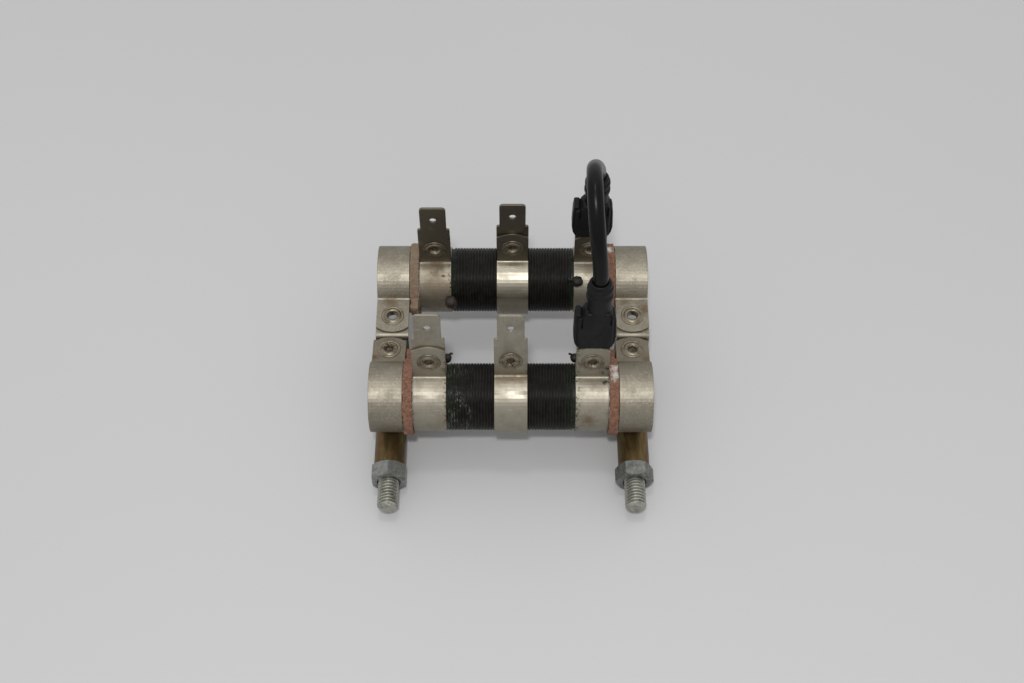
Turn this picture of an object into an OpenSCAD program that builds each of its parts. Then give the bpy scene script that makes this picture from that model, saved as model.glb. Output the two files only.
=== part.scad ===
// Twin tubular wirewound power resistor.
// Two ceramic tubes, wound with resistance wire, lie side by side along X.
// A folded end clamp grips each end of each tube over an insulating strip, and
// the feet of the clamps are bolted together in pairs between the tubes.
// Three folded terminal bands on each tube carry blade tabs, and a lead with
// two sleeved receptacles bridges the right-hand tabs.

/* [Tubes] */
// Length of each ceramic tube
tube_len = 67; // [62:0.5:80]
// Outside diameter of the ceramic
core_d = 15; // [14:0.1:15.6]
// Bore through the ceramic
core_bore_d = 9; // [6:0.5:11]
// Distance between the axes of the two tubes
tube_spacing = 35.2; // [34:0.1:38]
// Sideways shift of the back tube against the front one
back_shift = 0.4; // [0:0.1:0.4]

/* [Winding] */
// Diameter of the resistance wire
wire_d = 0.5; // [0.4:0.05:0.6]
// Distance from one turn to the next
wire_pitch = 0.7; // [0.65:0.05:0.9]
// Diameter of the weld bead at each end of a winding
bead_d = 2.8; // [2:0.1:3]

/* [Folded strip] */
// Thickness of the strip that the clamps and terminals are bent from
strip_t = 0.6; // [0.5:0.05:0.7]
// Inside radius where a strip turns away from its tube
root_bend_r = 0.6; // [0.4:0.1:1]
// Radius of the rounded end of a short ear
ear_end_r = 6; // [5:0.5:8]

/* [End clamps] */
// Width of the clamp strip
clamp_w = 8; // [7.5:0.1:8.5]
// Insulating strip left between clamp and ceramic
insulation_t = 0.3; // [0.2:0.05:0.4]
// Length of the insulating strip that bulges out beside the clamp
bulge_len = 2.1; // [1.5:0.1:2.4]
// Height of the bulge above the ceramic
bulge_h = 1.6; // [1:0.1:1.8]
// How far the bulge reaches out beside the ear
bulge_tail = 2.4; // [1.5:0.1:3]
// Flat strip between the bend at the front tube and the flange of its eyelet
bend_margin = 0.1; // [0.1:0.05:0.5]
// Flat strip between that flange and the fold of the front foot
fold_margin = 0.4; // [0.2:0.05:1]
// Height of the front ears' joint plane over the tube axis
front_ear_rise = 3.5; // [3:0.1:4]
// Downward slope of the front ears, degrees
front_ear_slope = 8; // [4:1:10]
// Height of the back ears' joint plane over the tube axis
back_ear_rise = 2.1; // [1.5:0.1:3]
// Downward slope of the back ears, degrees
back_ear_slope = 0; // [0:1:4]
// How far a front short ear reaches over the fold of its foot
front_ear_over = 0.8; // [0.4:0.1:0.9]
// How far a back short ear reaches over the fold of its foot
back_ear_over = 0.1; // [-0.5:0.1:0.9]
// Inside radius of the fold from ear to foot
foot_fold_r = 0.5; // [0.3:0.1:0.8]
// Clearance hole in a foot
foot_hole_d = 6; // [5.9:0.1:6.2]
// Corner radius at the lower end of a foot
foot_corner_r = 1.5; // [0.5:0.1:2.5]

/* [Terminals] */
// Width of a terminal strip
terminal_w = 7.8; // [7.5:0.1:8]
// Gap between an outer terminal and the bulge of the insulating strip
terminal_gap = 0.35; // [0.2:0.05:2]
// Width of the blade tab
tab_w = 6.3; // [6:0.1:6.5]
// Length of the blade tab above its shoulders
tab_len = 7.9; // [7.5:0.1:8.5]
// Height of the shoulders above the band
shoulder_h = 12.9; // [12:0.1:14]
// Height of a short ear above the band
short_ear_h = 10.4; // [9.5:0.1:11]
// Corner radius of the tab
tab_corner_r = 1; // [0.5:0.1:1.5]
// Corner radius of the shoulders
shoulder_corner_r = 0.6; // [0.3:0.1:0.8]
// Small hole in the tab
tab_hole_d = 1.65; // [1.4:0.05:2]
// Distance of the small hole from the tip of the tab
tab_hole_drop = 4.4; // [3:0.1:5]
// Backward lean of the front ears, degrees
front_lean = 6; // [0:1:7]
// Backward lean of the back ears, degrees
back_lean = -1; // [-2:1:2]

/* [Eyelets] */
// Outside diameter of the eyelet barrel
eyelet_d = 3.6; // [3.4:0.1:3.8]
// Wall of the eyelet
eyelet_wall = 0.5; // [0.25:0.05:0.6]
// Diameter over the rolled flange
eyelet_flange_d = 5.6; // [5.2:0.1:6]
// Height of a terminal eyelet above the band
eyelet_h = 5.2; // [4.8:0.1:5.6]

/* [Fixing bolts] */
// Thread diameter of the bolts
bolt_d = 5; // [4:0.5:5]
// Width across the flats of nut and bolt head
nut_af = 8; // [7.8:0.1:8.4]
// Height of the nut
nut_h = 4; // [3.5:0.1:5]
// Height of the bolt head
head_h = 3.5; // [3:0.1:4]
// Height of the tube axes above the bolts
bolt_drop = 12.4; // [12.3:0.1:13.5]
// Outside diameter of the spacer sleeve
spacer_d = 7.5; // [7:0.1:7.6]
// Bore of the spacer sleeve
spacer_bore_d = 5.4; // [5.2:0.1:5.8]
// Distance from the front axis to the seat of the nut
nut_seat = 12.5; // [11:0.1:14]
// Length of the bolt in front of the nut
bolt_end = 7.2; // [5:0.1:10]
// Chamfer at the tip of the bolt
bolt_chamfer = 0.7; // [0.4:0.1:1]
// Width of the open root of the thread in front of the nut
thread_root_w = 0.6; // [0.55:0.05:1]
// Depth of that root
thread_root_depth = 0.3; // [0.2:0.05:0.4]

/* [Bridge lead] */
// Diameter of the lead over its insulation
lead_d = 3.6; // [3.2:0.1:3.6]
// Width of the receptacle sleeve
sleeve_w = 8.7; // [8.6:0.1:9.2]
// Thickness of the receptacle sleeve
sleeve_t = 4.6; // [4.4:0.1:5]
// Width over the side wings of the sleeve
wing_w = 9.9; // [9.4:0.1:10.4]
// Thickness of a side wing
wing_t = 1.6; // [1.2:0.1:2]
// Length of the wide part of the sleeve
sleeve_len = 11.4; // [11:0.1:12.5]
// Length of the neck of the sleeve
neck_len = 9; // [8.5:0.1:10]
// Width of the neck
neck_w = 5.7; // [5.6:0.1:6.2]
// Thickness of the neck
neck_t = 5.2; // [5.1:0.1:5.6]
// Sideways step of the neck from the middle of the sleeve
neck_shift = 0.7; // [0:0.1:0.9]
// How far the sleeve reaches below the shoulders of the tab
sleeve_overlap = 1.6; // [1:0.1:2]

/* [Hidden] */
$fn = 64;
fit = 0.05;              // clearance of parts that lie against each other
slip = 0.1;              // clearance of parts that slide into each other
ring_steps = 60;         // flats round the ring of a strip
bend_steps = 8;          // flats round one bend of a strip
cut = 1;                 // overshoot of a cutting body
front = 0;
back = 1;
left = -1;
right = 1;

core_r = core_d / 2;
winding_r = core_r + fit + wire_d;
clamp_r = core_r + insulation_t + 2 * fit;
end_band_r = core_r + fit;
middle_band_r = winding_r + fit;
bulge_r = core_r + bulge_h;
clamp_x = (tube_len - clamp_w) / 2;
bulge_x = clamp_x - clamp_w / 2;
bolt_x = clamp_x;
terminal_x = bulge_x - fit - bulge_len - terminal_gap - terminal_w / 2;
winding_end = terminal_x - terminal_w / 2 - fit;

bolt_z = nut_af / 2 / cos(30);
tube_z = bolt_z + bolt_drop;
bolt_tip = nut_seat + nut_h + bolt_end;
front_y = (bolt_tip - tube_spacing - bulge_r) / 2;
back_y = front_y + tube_spacing;

// The front foot lies where the ear ends that its eyelet needs
eyelet_u = bend_centre(clamp_r, front_ear_rise, -1)[0] + bend_margin + eyelet_flange_d / 2;
fold_u = eyelet_u + eyelet_flange_d / 2 + fold_margin;
fold_v = front_ear_rise - fit / 2 - strip_t - foot_fold_r;
front_reach = fold_u * cos(front_ear_slope) + fold_v * sin(front_ear_slope) + foot_fold_r + strip_t;
foot_y = front_y + front_reach;
back_reach = tube_spacing - front_reach;

row_shift = [-back_shift / 2, back_shift / 2];
middle_x = (bolt_x + nut_af / 2 / cos(30) - (tube_len + back_shift) / 2) / 2;
row_y = [front_y, back_y];
row_turn = [0, 180];
row_reach = [front_reach, back_reach];
row_rise = [front_ear_rise, back_ear_rise];
row_slope = [front_ear_slope, back_ear_slope];
row_lean = [front_lean, back_lean];
row_ear_over = [front_ear_over, back_ear_over];

tab_tip_h = shoulder_h + tab_len;
sleeve_foot = end_band_r + strip_t + shoulder_h - sleeve_overlap;
sleeve_top = sleeve_foot + sleeve_len;
neck_top = sleeve_top + neck_len;
contact_t = 0.4;
curl_r = 1.1;
contact_foot = sleeve_foot + sleeve_overlap + 0.3;
contact_len = tab_len + 0.2;
crimp_len = 4;
crimp_d = lead_d - 0.4;
crimp_top = contact_foot + contact_len + crimp_len;
contact_w = tab_w + 2 * slip + curl_r;
pocket_w = max(contact_w, terminal_w) + 2 * slip;
pocket_t = 2 * (curl_r + slip);
neck_lip = 0.2;
lip_len = 1.2;
neck_root = 1;
sleeve_corner_r = 1.2;
pocket_corner_r = 0.6;
foot_inset = 0.3;

nickel = [0.56, 0.53, 0.46];
ceramic_white = [0.93, 0.92, 0.9];
winding_black = [0.07, 0.08, 0.07];
salmon = [0.62, 0.33, 0.24];
zinc = [0.7, 0.69, 0.66];
passivated = [0.46, 0.38, 0.22];
sleeve_black = [0.09, 0.09, 0.1];
brass_colour = [0.72, 0.6, 0.35];

// Point on the axis of a sleeve's neck, at a height above the tube axis
function neck_point(row, h) = [
    terminal_x + neck_shift + row_shift[row],
    row_y[row] + h * sin(row_lean[row]) + (strip_t + fit) / 2,
    tube_z + h * cos(row_lean[row])
];

// Loop of the lead between the rims of the two necks: sideways from the line between
// them, share of the way from front to back, and height
lead_loop = [
    [-0.2, 0.017, 4.35], [-0.7, 0.043, 8.85], [-1.25, 0.1, 13.55], [-1.7, 0.205, 17.55],
    [-1.95, 0.35, 19.55], [-1.9, 0.508, 18.3], [-1.65, 0.646, 15], [-1.1, 0.772, 11],
    [-0.55, 0.877, 7], [-0.1, 0.963, 3.2]
];
lead_start = crimp_top + slip;
lead_grip = (lead_start + neck_top) / 2;
lead_route = concat(
    [for (h = [lead_start, lead_grip, neck_top]) neck_point(front, h)],
    [for (p = lead_loop)
        (1 - p[1]) * neck_point(front, neck_top) + p[1] * neck_point(back, neck_top) + [p[0], 0, p[2]]],
    [for (h = [neck_top, lead_grip, lead_start]) neck_point(back, h)]
);

// ---- helpers ----

// Moves a shape drawn about the tube axis to the front or back tube
module on_row(row) {
    translate([row_shift[row] - middle_x, row_y[row], tube_z]) children();
}

// Ring in the plane
module ring(inner_r, outer_r) {
    difference() {
        circle(r = outer_r);
        circle(r = inner_r);
    }
}

// Extrudes a profile drawn in Y and Z along X, about the middle
module along_x(len) {
    rotate([90, 0, 90]) translate([0, 0, -len / 2]) linear_extrude(len) children();
}

// Round tube along X
module tube_x(inner_r, outer_r, len) {
    along_x(len) ring(inner_r, outer_r);
}

// Rectangle with four rounded corners, centred
module rounded_rect(w, h, r) {
    square([w - 2 * r, h], center = true);
    square([w, h - 2 * r], center = true);
    for (sx = [-1, 1], sy = [-1, 1]) translate([sx * (w / 2 - r), sy * (h / 2 - r)]) circle(r = r);
}

// Points on an arc round centre, from one angle to another
function arc(centre, r, from, to, steps) =
    [for (i = [0 : steps]) let (a = from + (to - from) * i / steps) centre + r * [cos(a), sin(a)]];

function reversed(points) = [for (i = [len(points) - 1 : -1 : 0]) points[i]];

function turned_down(points, slope) =
    [for (p = points) [p[0] * cos(slope) + p[1] * sin(slope), p[1] * cos(slope) - p[0] * sin(slope)]];

// Centre of the bend that turns one layer of a strip from its ring of inner radius r
// into an ear beside the joint plane at height rise; side is 1 above, -1 below
function bend_centre(r, rise, side) =
    let (v = rise + side * (fit / 2 + strip_t + root_bend_r))
    [sqrt(pow(r + strip_t + root_bend_r, 2) - v * v), v];

// One face of a strip bent round a tube, from the upper ear to the lower one;
// depth is 0 on the outer face and strip_t on the inner one
function strip_face(r, rise, depth) =
    let (
        upper = bend_centre(r, rise, 1),
        lower = bend_centre(r, rise, -1),
        upper_turn = atan2(upper[1], upper[0]),
        lower_turn = atan2(lower[1], lower[0]),
        bend_r = root_bend_r + depth
    )
    concat(
        arc(upper, bend_r, 270, 180 + upper_turn, bend_steps),
        arc([0, 0], r + strip_t - depth, upper_turn, 360 + lower_turn, ring_steps),
        arc(lower, bend_r, 180 + lower_turn, 90, bend_steps)
    );

// What is cut from a layer of strip to leave an ear with an arched end at y_end
module arched_end_cut(w, y_end) {
    arch_y = y_end - ear_end_r;
    difference() {
        translate([-w / 2 - cut, arch_y]) square([w + 2 * cut, ear_end_r + cut]);
        translate([0, arch_y]) circle(r = ear_end_r);
    }
}

// What is cut from a strip of width w to leave a narrower end with rounded corners,
// from shoulders at y0 to its tip at y1
module stepped_end_cut(w, end_w, y0, y1, shoulder_r, end_r) {
    edge = concat(
        [[w / 2 + cut, y0 - shoulder_r]],
        arc([w / 2 - shoulder_r, y0 - shoulder_r], shoulder_r, 0, 90, bend_steps),
        [[end_w / 2, y0]],
        arc([end_w / 2 - end_r, y1 - end_r], end_r, 0, 90, bend_steps),
        [[end_w / 2 - end_r, y1 + cut], [w / 2 + cut, y1 + cut]]
    );
    polygon(edge);
    mirror([1, 0]) polygon(edge);
}

// Hollow eyelet through both ears, its joint plane at z = 0
module eyelet() {
    bore_r = eyelet_d / 2 - eyelet_wall;
    roll_r = (eyelet_flange_d / 2 - bore_r) / 2;
    roll_x = bore_r + roll_r;
    seat = strip_t + 1.5 * fit;
    rotate_extrude() {
        translate([bore_r, -seat]) square([eyelet_wall, 2 * seat]);
        for (side = [-1, 1]) translate([0, side * seat]) intersection() {
            translate([roll_x, 0]) circle(r = roll_r);
            translate([bore_r, side > 0 ? 0 : -roll_r / 2]) square([2 * roll_r, roll_r / 2]);
        }
    }
}

// Hexagon with both its faces chamfered, from z = 0 to h
module chamfered_hex(af, h) {
    corner_r = af / 2 / cos(30);
    drop = corner_r - af / 2;
    intersection() {
        cylinder(r = corner_r, h = h, $fn = 6);
        union() {
            cylinder(r1 = af / 2, r2 = corner_r, h = drop * 0.6);
            translate([0, 0, drop * 0.6]) cylinder(r = corner_r, h = h - 1.2 * drop);
            translate([0, 0, h - drop * 0.6]) cylinder(r1 = corner_r, r2 = af / 2, h = drop * 0.6);
        }
    }
}

// ---- tubes ----

module ceramic_core(row) {
    color(ceramic_white) on_row(row) tube_x(core_bore_d / 2, core_r, tube_len);
}

// Close-wound ridges, turned as rings
module winding(row) {
    turns = floor(2 * (winding_end - wire_d / 2) / wire_pitch);
    start = -turns * wire_pitch / 2;
    base_r = core_r + fit;
    ridge = [for (i = [0 : turns], a = [180 : -45 : 0])
        [start + i * wire_pitch + wire_d / 2 * cos(a), base_r + wire_d / 2 + wire_d / 2 * sin(a)]];
    first_x = start - wire_d / 2;
    last_x = start + turns * wire_pitch + wire_d / 2;
    color(winding_black) on_row(row) rotate([0, 90, 0]) rotate_extrude()
        rotate(90) mirror([0, 1]) polygon(concat([[first_x, base_r]], ridge, [[last_x, base_r]]));
}

// out is how far the bead lies beyond the end of the winding
module weld_bead(row, side, angle, out) {
    seat_r = max(winding_r, end_band_r + strip_t) + fit + bead_d / 2;
    color(winding_black) on_row(row)
        translate([side * (winding_end + out), -seat_r * cos(angle), seat_r * sin(angle)])
        sphere(d = bead_d, $fn = 24);
}

// Insulating strip under a clamp, bulging out on the inner side of it
module insulation(row, side) {
    sleeve_r = core_r + fit;
    turned = row == back ? -side : side;
    tail_y = row_rise[row] - bulge_tail / 2;
    color(salmon) on_row(row) rotate([0, 0, row_turn[row]]) rotate([-row_slope[row], 0, 0]) {
        translate([turned * (clamp_x - bulge_len / 2), 0, 0])
            tube_x(sleeve_r, core_r + insulation_t + fit, clamp_w + bulge_len);
        translate([turned * (bulge_x - fit - bulge_len / 2), 0, 0]) along_x(bulge_len) difference() {
            union() {
                circle(r = bulge_r);
                translate([0, tail_y]) square([bulge_r + bulge_tail, bulge_tail]);
            }
            circle(r = sleeve_r);
        }
    }
}

// ---- end clamps ----

// Centre of the fold from the lower ear into the foot, as Y and Z from the tube axis
function fold_centre(row) =
    let (y = row_reach[row] - strip_t - foot_fold_r, s = row_slope[row])
    [y, (row_rise[row] - fit / 2 - strip_t - foot_fold_r - y * sin(s)) / cos(s)];

// Place along the ear of a clamp, from the tube axis, where its short ear ends
function clamp_ear_end(row) =
    let (s = row_slope[row], fold = fold_centre(row))
    fold[0] * cos(s) - fold[1] * sin(s) + row_ear_over[row];

function clamp_eyelet_u(row) =
    row == front ? eyelet_u : (bend_centre(clamp_r, back_ear_rise, 1)[0] + clamp_ear_end(back)) / 2;

// One face of the whole clamp strip, from the short ear round the tube, along the
// lower ear and down the foot
function clamp_face(row, depth) =
    let (
        s = row_slope[row],
        ear_v = row_rise[row] + fit / 2 + strip_t - depth,
        foot_y = row_reach[row] - strip_t + depth
    )
    concat(
        turned_down([[clamp_ear_end(row), ear_v]], s),
        turned_down(strip_face(clamp_r, row_rise[row], depth), s),
        arc(fold_centre(row), foot_fold_r + depth, 90 - s, 0, bend_steps),
        [[foot_y, -tube_z]]
    );

module foot_clamp(row, side) {
    turned = row == back ? -side : side;
    hole_x = turned * bolt_x - (row == back ? -1 : 1) * row_shift[row];
    color(nickel) on_row(row) rotate([0, 0, row_turn[row]]) translate([turned * clamp_x, 0, 0])
        difference() {
            along_x(clamp_w) polygon(concat(clamp_face(row, 0), reversed(clamp_face(row, strip_t))));
            rotate([-row_slope[row], 0, 0]) {
                translate([0, 0, row_rise[row]]) linear_extrude(strip_t + cut)
                    arched_end_cut(clamp_w, clamp_ear_end(row));
                translate([0, clamp_eyelet_u(row), row_rise[row] - 2 * strip_t])
                    cylinder(d = eyelet_d + 2 * fit, h = 4 * strip_t);
            }
            translate([0, row_reach[row] + cut, -tube_z]) rotate([90, 0, 0])
                linear_extrude(strip_t + 2 * cut) foot_corner_cut();
            translate([hole_x - turned * clamp_x, row_reach[row] + cut, bolt_z - tube_z])
                rotate([90, 0, 0]) cylinder(d = foot_hole_d, h = strip_t + 2 * cut);
        }
}

// What is cut from the lower end of a foot to round its corners
module foot_corner_cut() {
    corner = concat(
        arc([clamp_w / 2 - foot_corner_r, foot_corner_r], foot_corner_r, 0, -90, bend_steps),
        [[clamp_w / 2 - foot_corner_r, -cut], [clamp_w / 2 + cut, -cut], [clamp_w / 2 + cut, foot_corner_r]]
    );
    polygon(corner);
    mirror([1, 0]) polygon(corner);
}

module clamp_eyelet(row, side) {
    turned = row == back ? -side : side;
    color(nickel) on_row(row) rotate([0, 0, row_turn[row]]) translate([turned * clamp_x, 0, 0])
        rotate([-row_slope[row], 0, 0]) translate([0, clamp_eyelet_u(row), row_rise[row]]) eyelet();
}

// ---- terminals ----

function band_r(place) = place == 0 ? middle_band_r : end_band_r;

// Turns the ear direction +Y up to +Z and leans it back
module stand_up(row) {
    rotate([90 - row_lean[row], 0, 0]) children();
}

// tab_side is 1 with the tab in front of the short ear, and -1 with it behind
module terminal(row, place, tab_side) {
    r = band_r(place);
    top = r + strip_t;
    tip = top + tab_tip_h;
    ear_tip = top + short_ear_h;
    upper_end = tab_side > 0 ? tip : ear_tip;
    lower_end = tab_side > 0 ? ear_tip : tip;
    outer_v = fit / 2 + strip_t;
    outline = concat(
        [[upper_end, outer_v]], strip_face(r, 0, 0), [[lower_end, -outer_v], [lower_end, -fit / 2]],
        reversed(strip_face(r, 0, strip_t)), [[upper_end, fit / 2]]
    );
    color(nickel) on_row(row) translate([place * terminal_x, 0, 0]) stand_up(row) difference() {
        along_x(terminal_w) polygon(outline);
        mirror([0, 0, tab_side > 0 ? 0 : 1]) linear_extrude(strip_t + cut)
            stepped_end_cut(terminal_w, tab_w, top + shoulder_h, tip, shoulder_corner_r, tab_corner_r);
        mirror([0, 0, tab_side > 0 ? 1 : 0]) linear_extrude(strip_t + cut)
            arched_end_cut(terminal_w, ear_tip);
        translate([0, top + eyelet_h, -2 * strip_t]) cylinder(d = eyelet_d + 2 * fit, h = 4 * strip_t);
        translate([0, tip - tab_hole_drop, -2 * strip_t]) cylinder(d = tab_hole_d, h = 4 * strip_t);
    }
}

module terminal_eyelet(row, place) {
    color(nickel) on_row(row) translate([place * terminal_x, 0, 0]) stand_up(row)
        translate([0, band_r(place) + strip_t + eyelet_h, 0]) eyelet();
}

// ---- bolts ----

// Turns a shape drawn along +Z to point to the front, at a bolt's axis and at y
module on_bolt(side, y) {
    translate([side * bolt_x - middle_x, y, bolt_z]) rotate([90, 0, 0]) children();
}

module spacer(side) {
    len = front_reach - strip_t - fit + nut_seat - fit;
    color(passivated) on_bolt(side, foot_y - strip_t - fit) difference() {
        cylinder(d = spacer_d, h = len);
        translate([0, 0, -cut]) cylinder(d = spacer_bore_d, h = len + 2 * cut);
    }
}

module bolt(side) {
    shank = front_reach + strip_t + bolt_tip + fit;
    root = shank - bolt_end;
    root_d = bolt_d - 2 * thread_root_depth;
    color(zinc) on_bolt(side, foot_y + strip_t + fit) {
        translate([0, 0, -head_h]) rotate(30) chamfered_hex(nut_af, head_h);
        translate([0, 0, -head_h / 2]) cylinder(d = bolt_d, h = root + head_h / 2);
        cylinder(d = root_d, h = shank - bolt_chamfer);
        translate([0, 0, root + thread_root_w])
            cylinder(d = bolt_d, h = bolt_end - thread_root_w - bolt_chamfer);
        translate([0, 0, shank - bolt_chamfer])
            cylinder(d1 = bolt_d, d2 = bolt_d - 2 * bolt_chamfer, h = bolt_chamfer);
    }
}

module nut(side) {
    color(zinc) on_bolt(side, front_y - nut_seat) difference() {
        rotate(side == left ? 30 : 0) chamfered_hex(nut_af, nut_h);
        translate([0, 0, -cut]) cylinder(d = bolt_d + 2 * fit, h = nut_h + 2 * cut);
    }
}

// ---- bridge lead ----

// Places a shape drawn up the axis of a right-hand tab
module on_tab(row) {
    on_row(row) translate([terminal_x, 0, 0]) rotate([-row_lean[row], 0, 0]) children();
}

// Middle plane of the tab, which lies behind the joint plane of the ears
module on_tab_plane() {
    translate([0, (strip_t + fit) / 2, 0]) children();
}

module receptacle_sleeve(row) {
    rim = neck_top - lip_len;
    color(sleeve_black) on_tab(row) on_tab_plane() difference() {
        union() {
            translate([0, 0, sleeve_foot]) linear_extrude(sleeve_len)
                rounded_rect(sleeve_w, sleeve_t, sleeve_corner_r);
            translate([0, wing_t / 2, 0]) rotate([90, 0, 0]) linear_extrude(wing_t) wing_outline();
            on_neck() {
                translate([0, 0, sleeve_foot + neck_root]) linear_extrude(rim - sleeve_foot - neck_root)
                    neck_section(0);
                translate([0, 0, rim]) linear_extrude(lip_len) neck_section(-neck_lip);
                for (step = [1, 3]) translate([0, 0, rim - step * lip_len])
                    linear_extrude(lip_len) neck_section(neck_lip);
            }
        }
        translate([0, 0, sleeve_foot - cut]) linear_extrude(crimp_top - crimp_len - sleeve_foot + cut + slip)
            rounded_rect(pocket_w, pocket_t, pocket_corner_r);
        on_neck() translate([0, 0, sleeve_foot])
            cylinder(d = lead_d + 2 * slip, h = sleeve_len + neck_len + cut);
    }
}

// Moves a shape sideways to the axis of the neck
module on_neck() {
    translate([neck_shift, 0, 0]) children();
}

module neck_section(grow) {
    rounded_rect(neck_w + 2 * grow, neck_t + 2 * grow, neck_t / 2 - slip + grow);
}

// Side wings, widest at the lower third
module wing_outline() {
    wide_z = sleeve_foot + sleeve_len * 0.3;
    foot_half = sleeve_w / 2 - foot_inset;
    top_half = sleeve_w / 2;
    polygon([
        [-foot_half, sleeve_foot], [foot_half, sleeve_foot],
        [wing_w / 2, wide_z], [top_half, sleeve_top],
        [-top_half, sleeve_top], [-wing_w / 2, wide_z]
    ]);
}

// Rolled receptacle that grips the tab, with its crimp barrel round the wire
module receptacle_contact(row) {
    grip = contact_w / 2 - curl_r;
    gap = strip_t / 2 + fit;
    color(brass_colour) on_tab(row) on_tab_plane() {
        translate([0, 0, contact_foot]) linear_extrude(contact_len) {
            translate([-grip, gap]) square([2 * grip, contact_t]);
            for (side = [-1, 1]) difference() {
                translate([side * grip, 0]) circle(r = curl_r);
                translate([side * grip, 0]) circle(r = curl_r - contact_t);
                translate([-tab_w / 2 - slip, -gap]) square([tab_w + 2 * slip, 2 * gap]);
            }
        }
        on_neck() translate([0, 0, crimp_top - crimp_len]) cylinder(d = crimp_d, h = crimp_len);
    }
}

// Rings of the lead's sweep, square to its route
lead_sides = 8;
function unit(v) = v / norm(v);
function lead_way(i) = unit(lead_route[min(i + 1, len(lead_route) - 1)] - lead_route[max(i - 1, 0)]);
function lead_ring(i) =
    let (way = lead_way(i), side = unit(cross([1, 0, 0], way)), up = cross(side, way))
    [for (k = [0 : lead_sides - 1])
        lead_route[i] + lead_d / 2 * (cos(360 * k / lead_sides) * side + sin(360 * k / lead_sides) * up)];

module bridge_lead() {
    rings = len(lead_route);
    points = [for (i = [0 : rings - 1]) each lead_ring(i)];
    start_cap = [for (k = [lead_sides - 1 : -1 : 0]) k];
    end_cap = [for (k = [0 : lead_sides - 1]) (rings - 1) * lead_sides + k];
    walls = [for (i = [0 : rings - 2], k = [0 : lead_sides - 1])
        let (next = (k + 1) % lead_sides)
        [i * lead_sides + k, i * lead_sides + next, (i + 1) * lead_sides + next, (i + 1) * lead_sides + k]];
    color(sleeve_black) translate([-middle_x, 0, 0])
        polyhedron(points = points, faces = concat([start_cap, end_cap], walls));
}

ceramic_core(front);  // ceramic_core_front
ceramic_core(back);  // ceramic_core_back
winding(front);  // winding_front
winding(back);  // winding_back
insulation(front, left);  // insulation_front_left
insulation(front, right);  // insulation_front_right
insulation(back, left);  // insulation_back_left
insulation(back, right);  // insulation_back_right
foot_clamp(front, left);  // foot_clamp_front_left
foot_clamp(front, right);  // foot_clamp_front_right
foot_clamp(back, left);  // foot_clamp_back_left
foot_clamp(back, right);  // foot_clamp_back_right
clamp_eyelet(front, left);  // clamp_eyelet_front_left
clamp_eyelet(front, right);  // clamp_eyelet_front_right
clamp_eyelet(back, left);  // clamp_eyelet_back_left
clamp_eyelet(back, right);  // clamp_eyelet_back_right
terminal(front, -1, -1);  // terminal_front_left
terminal(front, 0, 1);  // terminal_front_middle
terminal(front, 1, -1);  // terminal_front_right
terminal(back, -1, 1);  // terminal_back_left
terminal(back, 0, -1);  // terminal_back_middle
terminal(back, 1, -1);  // terminal_back_right
terminal_eyelet(front, -1);  // terminal_eyelet_front_left
terminal_eyelet(front, 0);  // terminal_eyelet_front_middle
terminal_eyelet(front, 1);  // terminal_eyelet_front_right
terminal_eyelet(back, -1);  // terminal_eyelet_back_left
terminal_eyelet(back, 0);  // terminal_eyelet_back_middle
terminal_eyelet(back, 1);  // terminal_eyelet_back_right
weld_bead(front, left, 130, 0);  // weld_bead_front_left
weld_bead(front, right, 130, 0);  // weld_bead_front_right
weld_bead(back, left, 17, 0);  // weld_bead_back_left
weld_bead(back, right, 50, 0.8);  // weld_bead_back_right
spacer(left);  // spacer_left
spacer(right);  // spacer_right
bolt(left);  // bolt_left
bolt(right);  // bolt_right
nut(left);  // nut_left
nut(right);  // nut_right
receptacle_sleeve(front);  // receptacle_sleeve_front
receptacle_sleeve(back);  // receptacle_sleeve_back
receptacle_contact(front);  // receptacle_contact_front
receptacle_contact(back);  // receptacle_contact_back
bridge_lead();
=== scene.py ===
# %% [markdown]
# # A twin tubular wirewound resistor, dressed piece by piece
# The construction model gives every piece its place. It is loaded first as a fixed
# frame, and each later step either gives one of its pieces a finish or models a finer
# piece that stands for it. Everything is in metres, with +Z up and -Y to the front.

# %% Load the frame
import math
import bpy
from mathutils import Vector, Matrix


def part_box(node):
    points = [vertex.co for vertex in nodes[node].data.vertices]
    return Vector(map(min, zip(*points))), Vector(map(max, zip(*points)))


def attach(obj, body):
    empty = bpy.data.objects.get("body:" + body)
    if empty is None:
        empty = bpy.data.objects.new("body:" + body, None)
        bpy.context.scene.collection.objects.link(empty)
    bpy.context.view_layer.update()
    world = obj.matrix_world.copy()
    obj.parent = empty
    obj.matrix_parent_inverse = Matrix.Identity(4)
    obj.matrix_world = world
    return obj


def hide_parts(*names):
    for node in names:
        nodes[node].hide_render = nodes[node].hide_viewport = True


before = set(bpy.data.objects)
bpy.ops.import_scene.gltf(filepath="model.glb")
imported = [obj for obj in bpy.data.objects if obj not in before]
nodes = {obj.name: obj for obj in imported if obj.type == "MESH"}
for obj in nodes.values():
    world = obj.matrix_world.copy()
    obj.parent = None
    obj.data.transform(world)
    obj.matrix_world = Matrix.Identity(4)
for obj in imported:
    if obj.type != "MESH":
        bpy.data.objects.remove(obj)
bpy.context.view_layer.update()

MM = 0.001

# %% [markdown]
# ## Surfaces
# Each finish is a material on Object coordinates, so its pattern keeps its real size on
# every piece. A finish is a chain of nodes. It could be wired by hand, but a few helpers
# that add one node each read more like a recipe. Each takes a number, a colour or
# another node's output for any input.

# %% Wiring helpers
def wire(tree, a, b):
    tree.links.new(a, b)


def feed(tree, value, socket):
    """Sets a socket to a number, vector or colour, or links another node's output to it."""
    if isinstance(value, bpy.types.NodeSocket):
        wire(tree, value, socket)
    elif socket.type == "RGBA":
        socket.default_value = (*value, 1)
    else:
        socket.default_value = value


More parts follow.
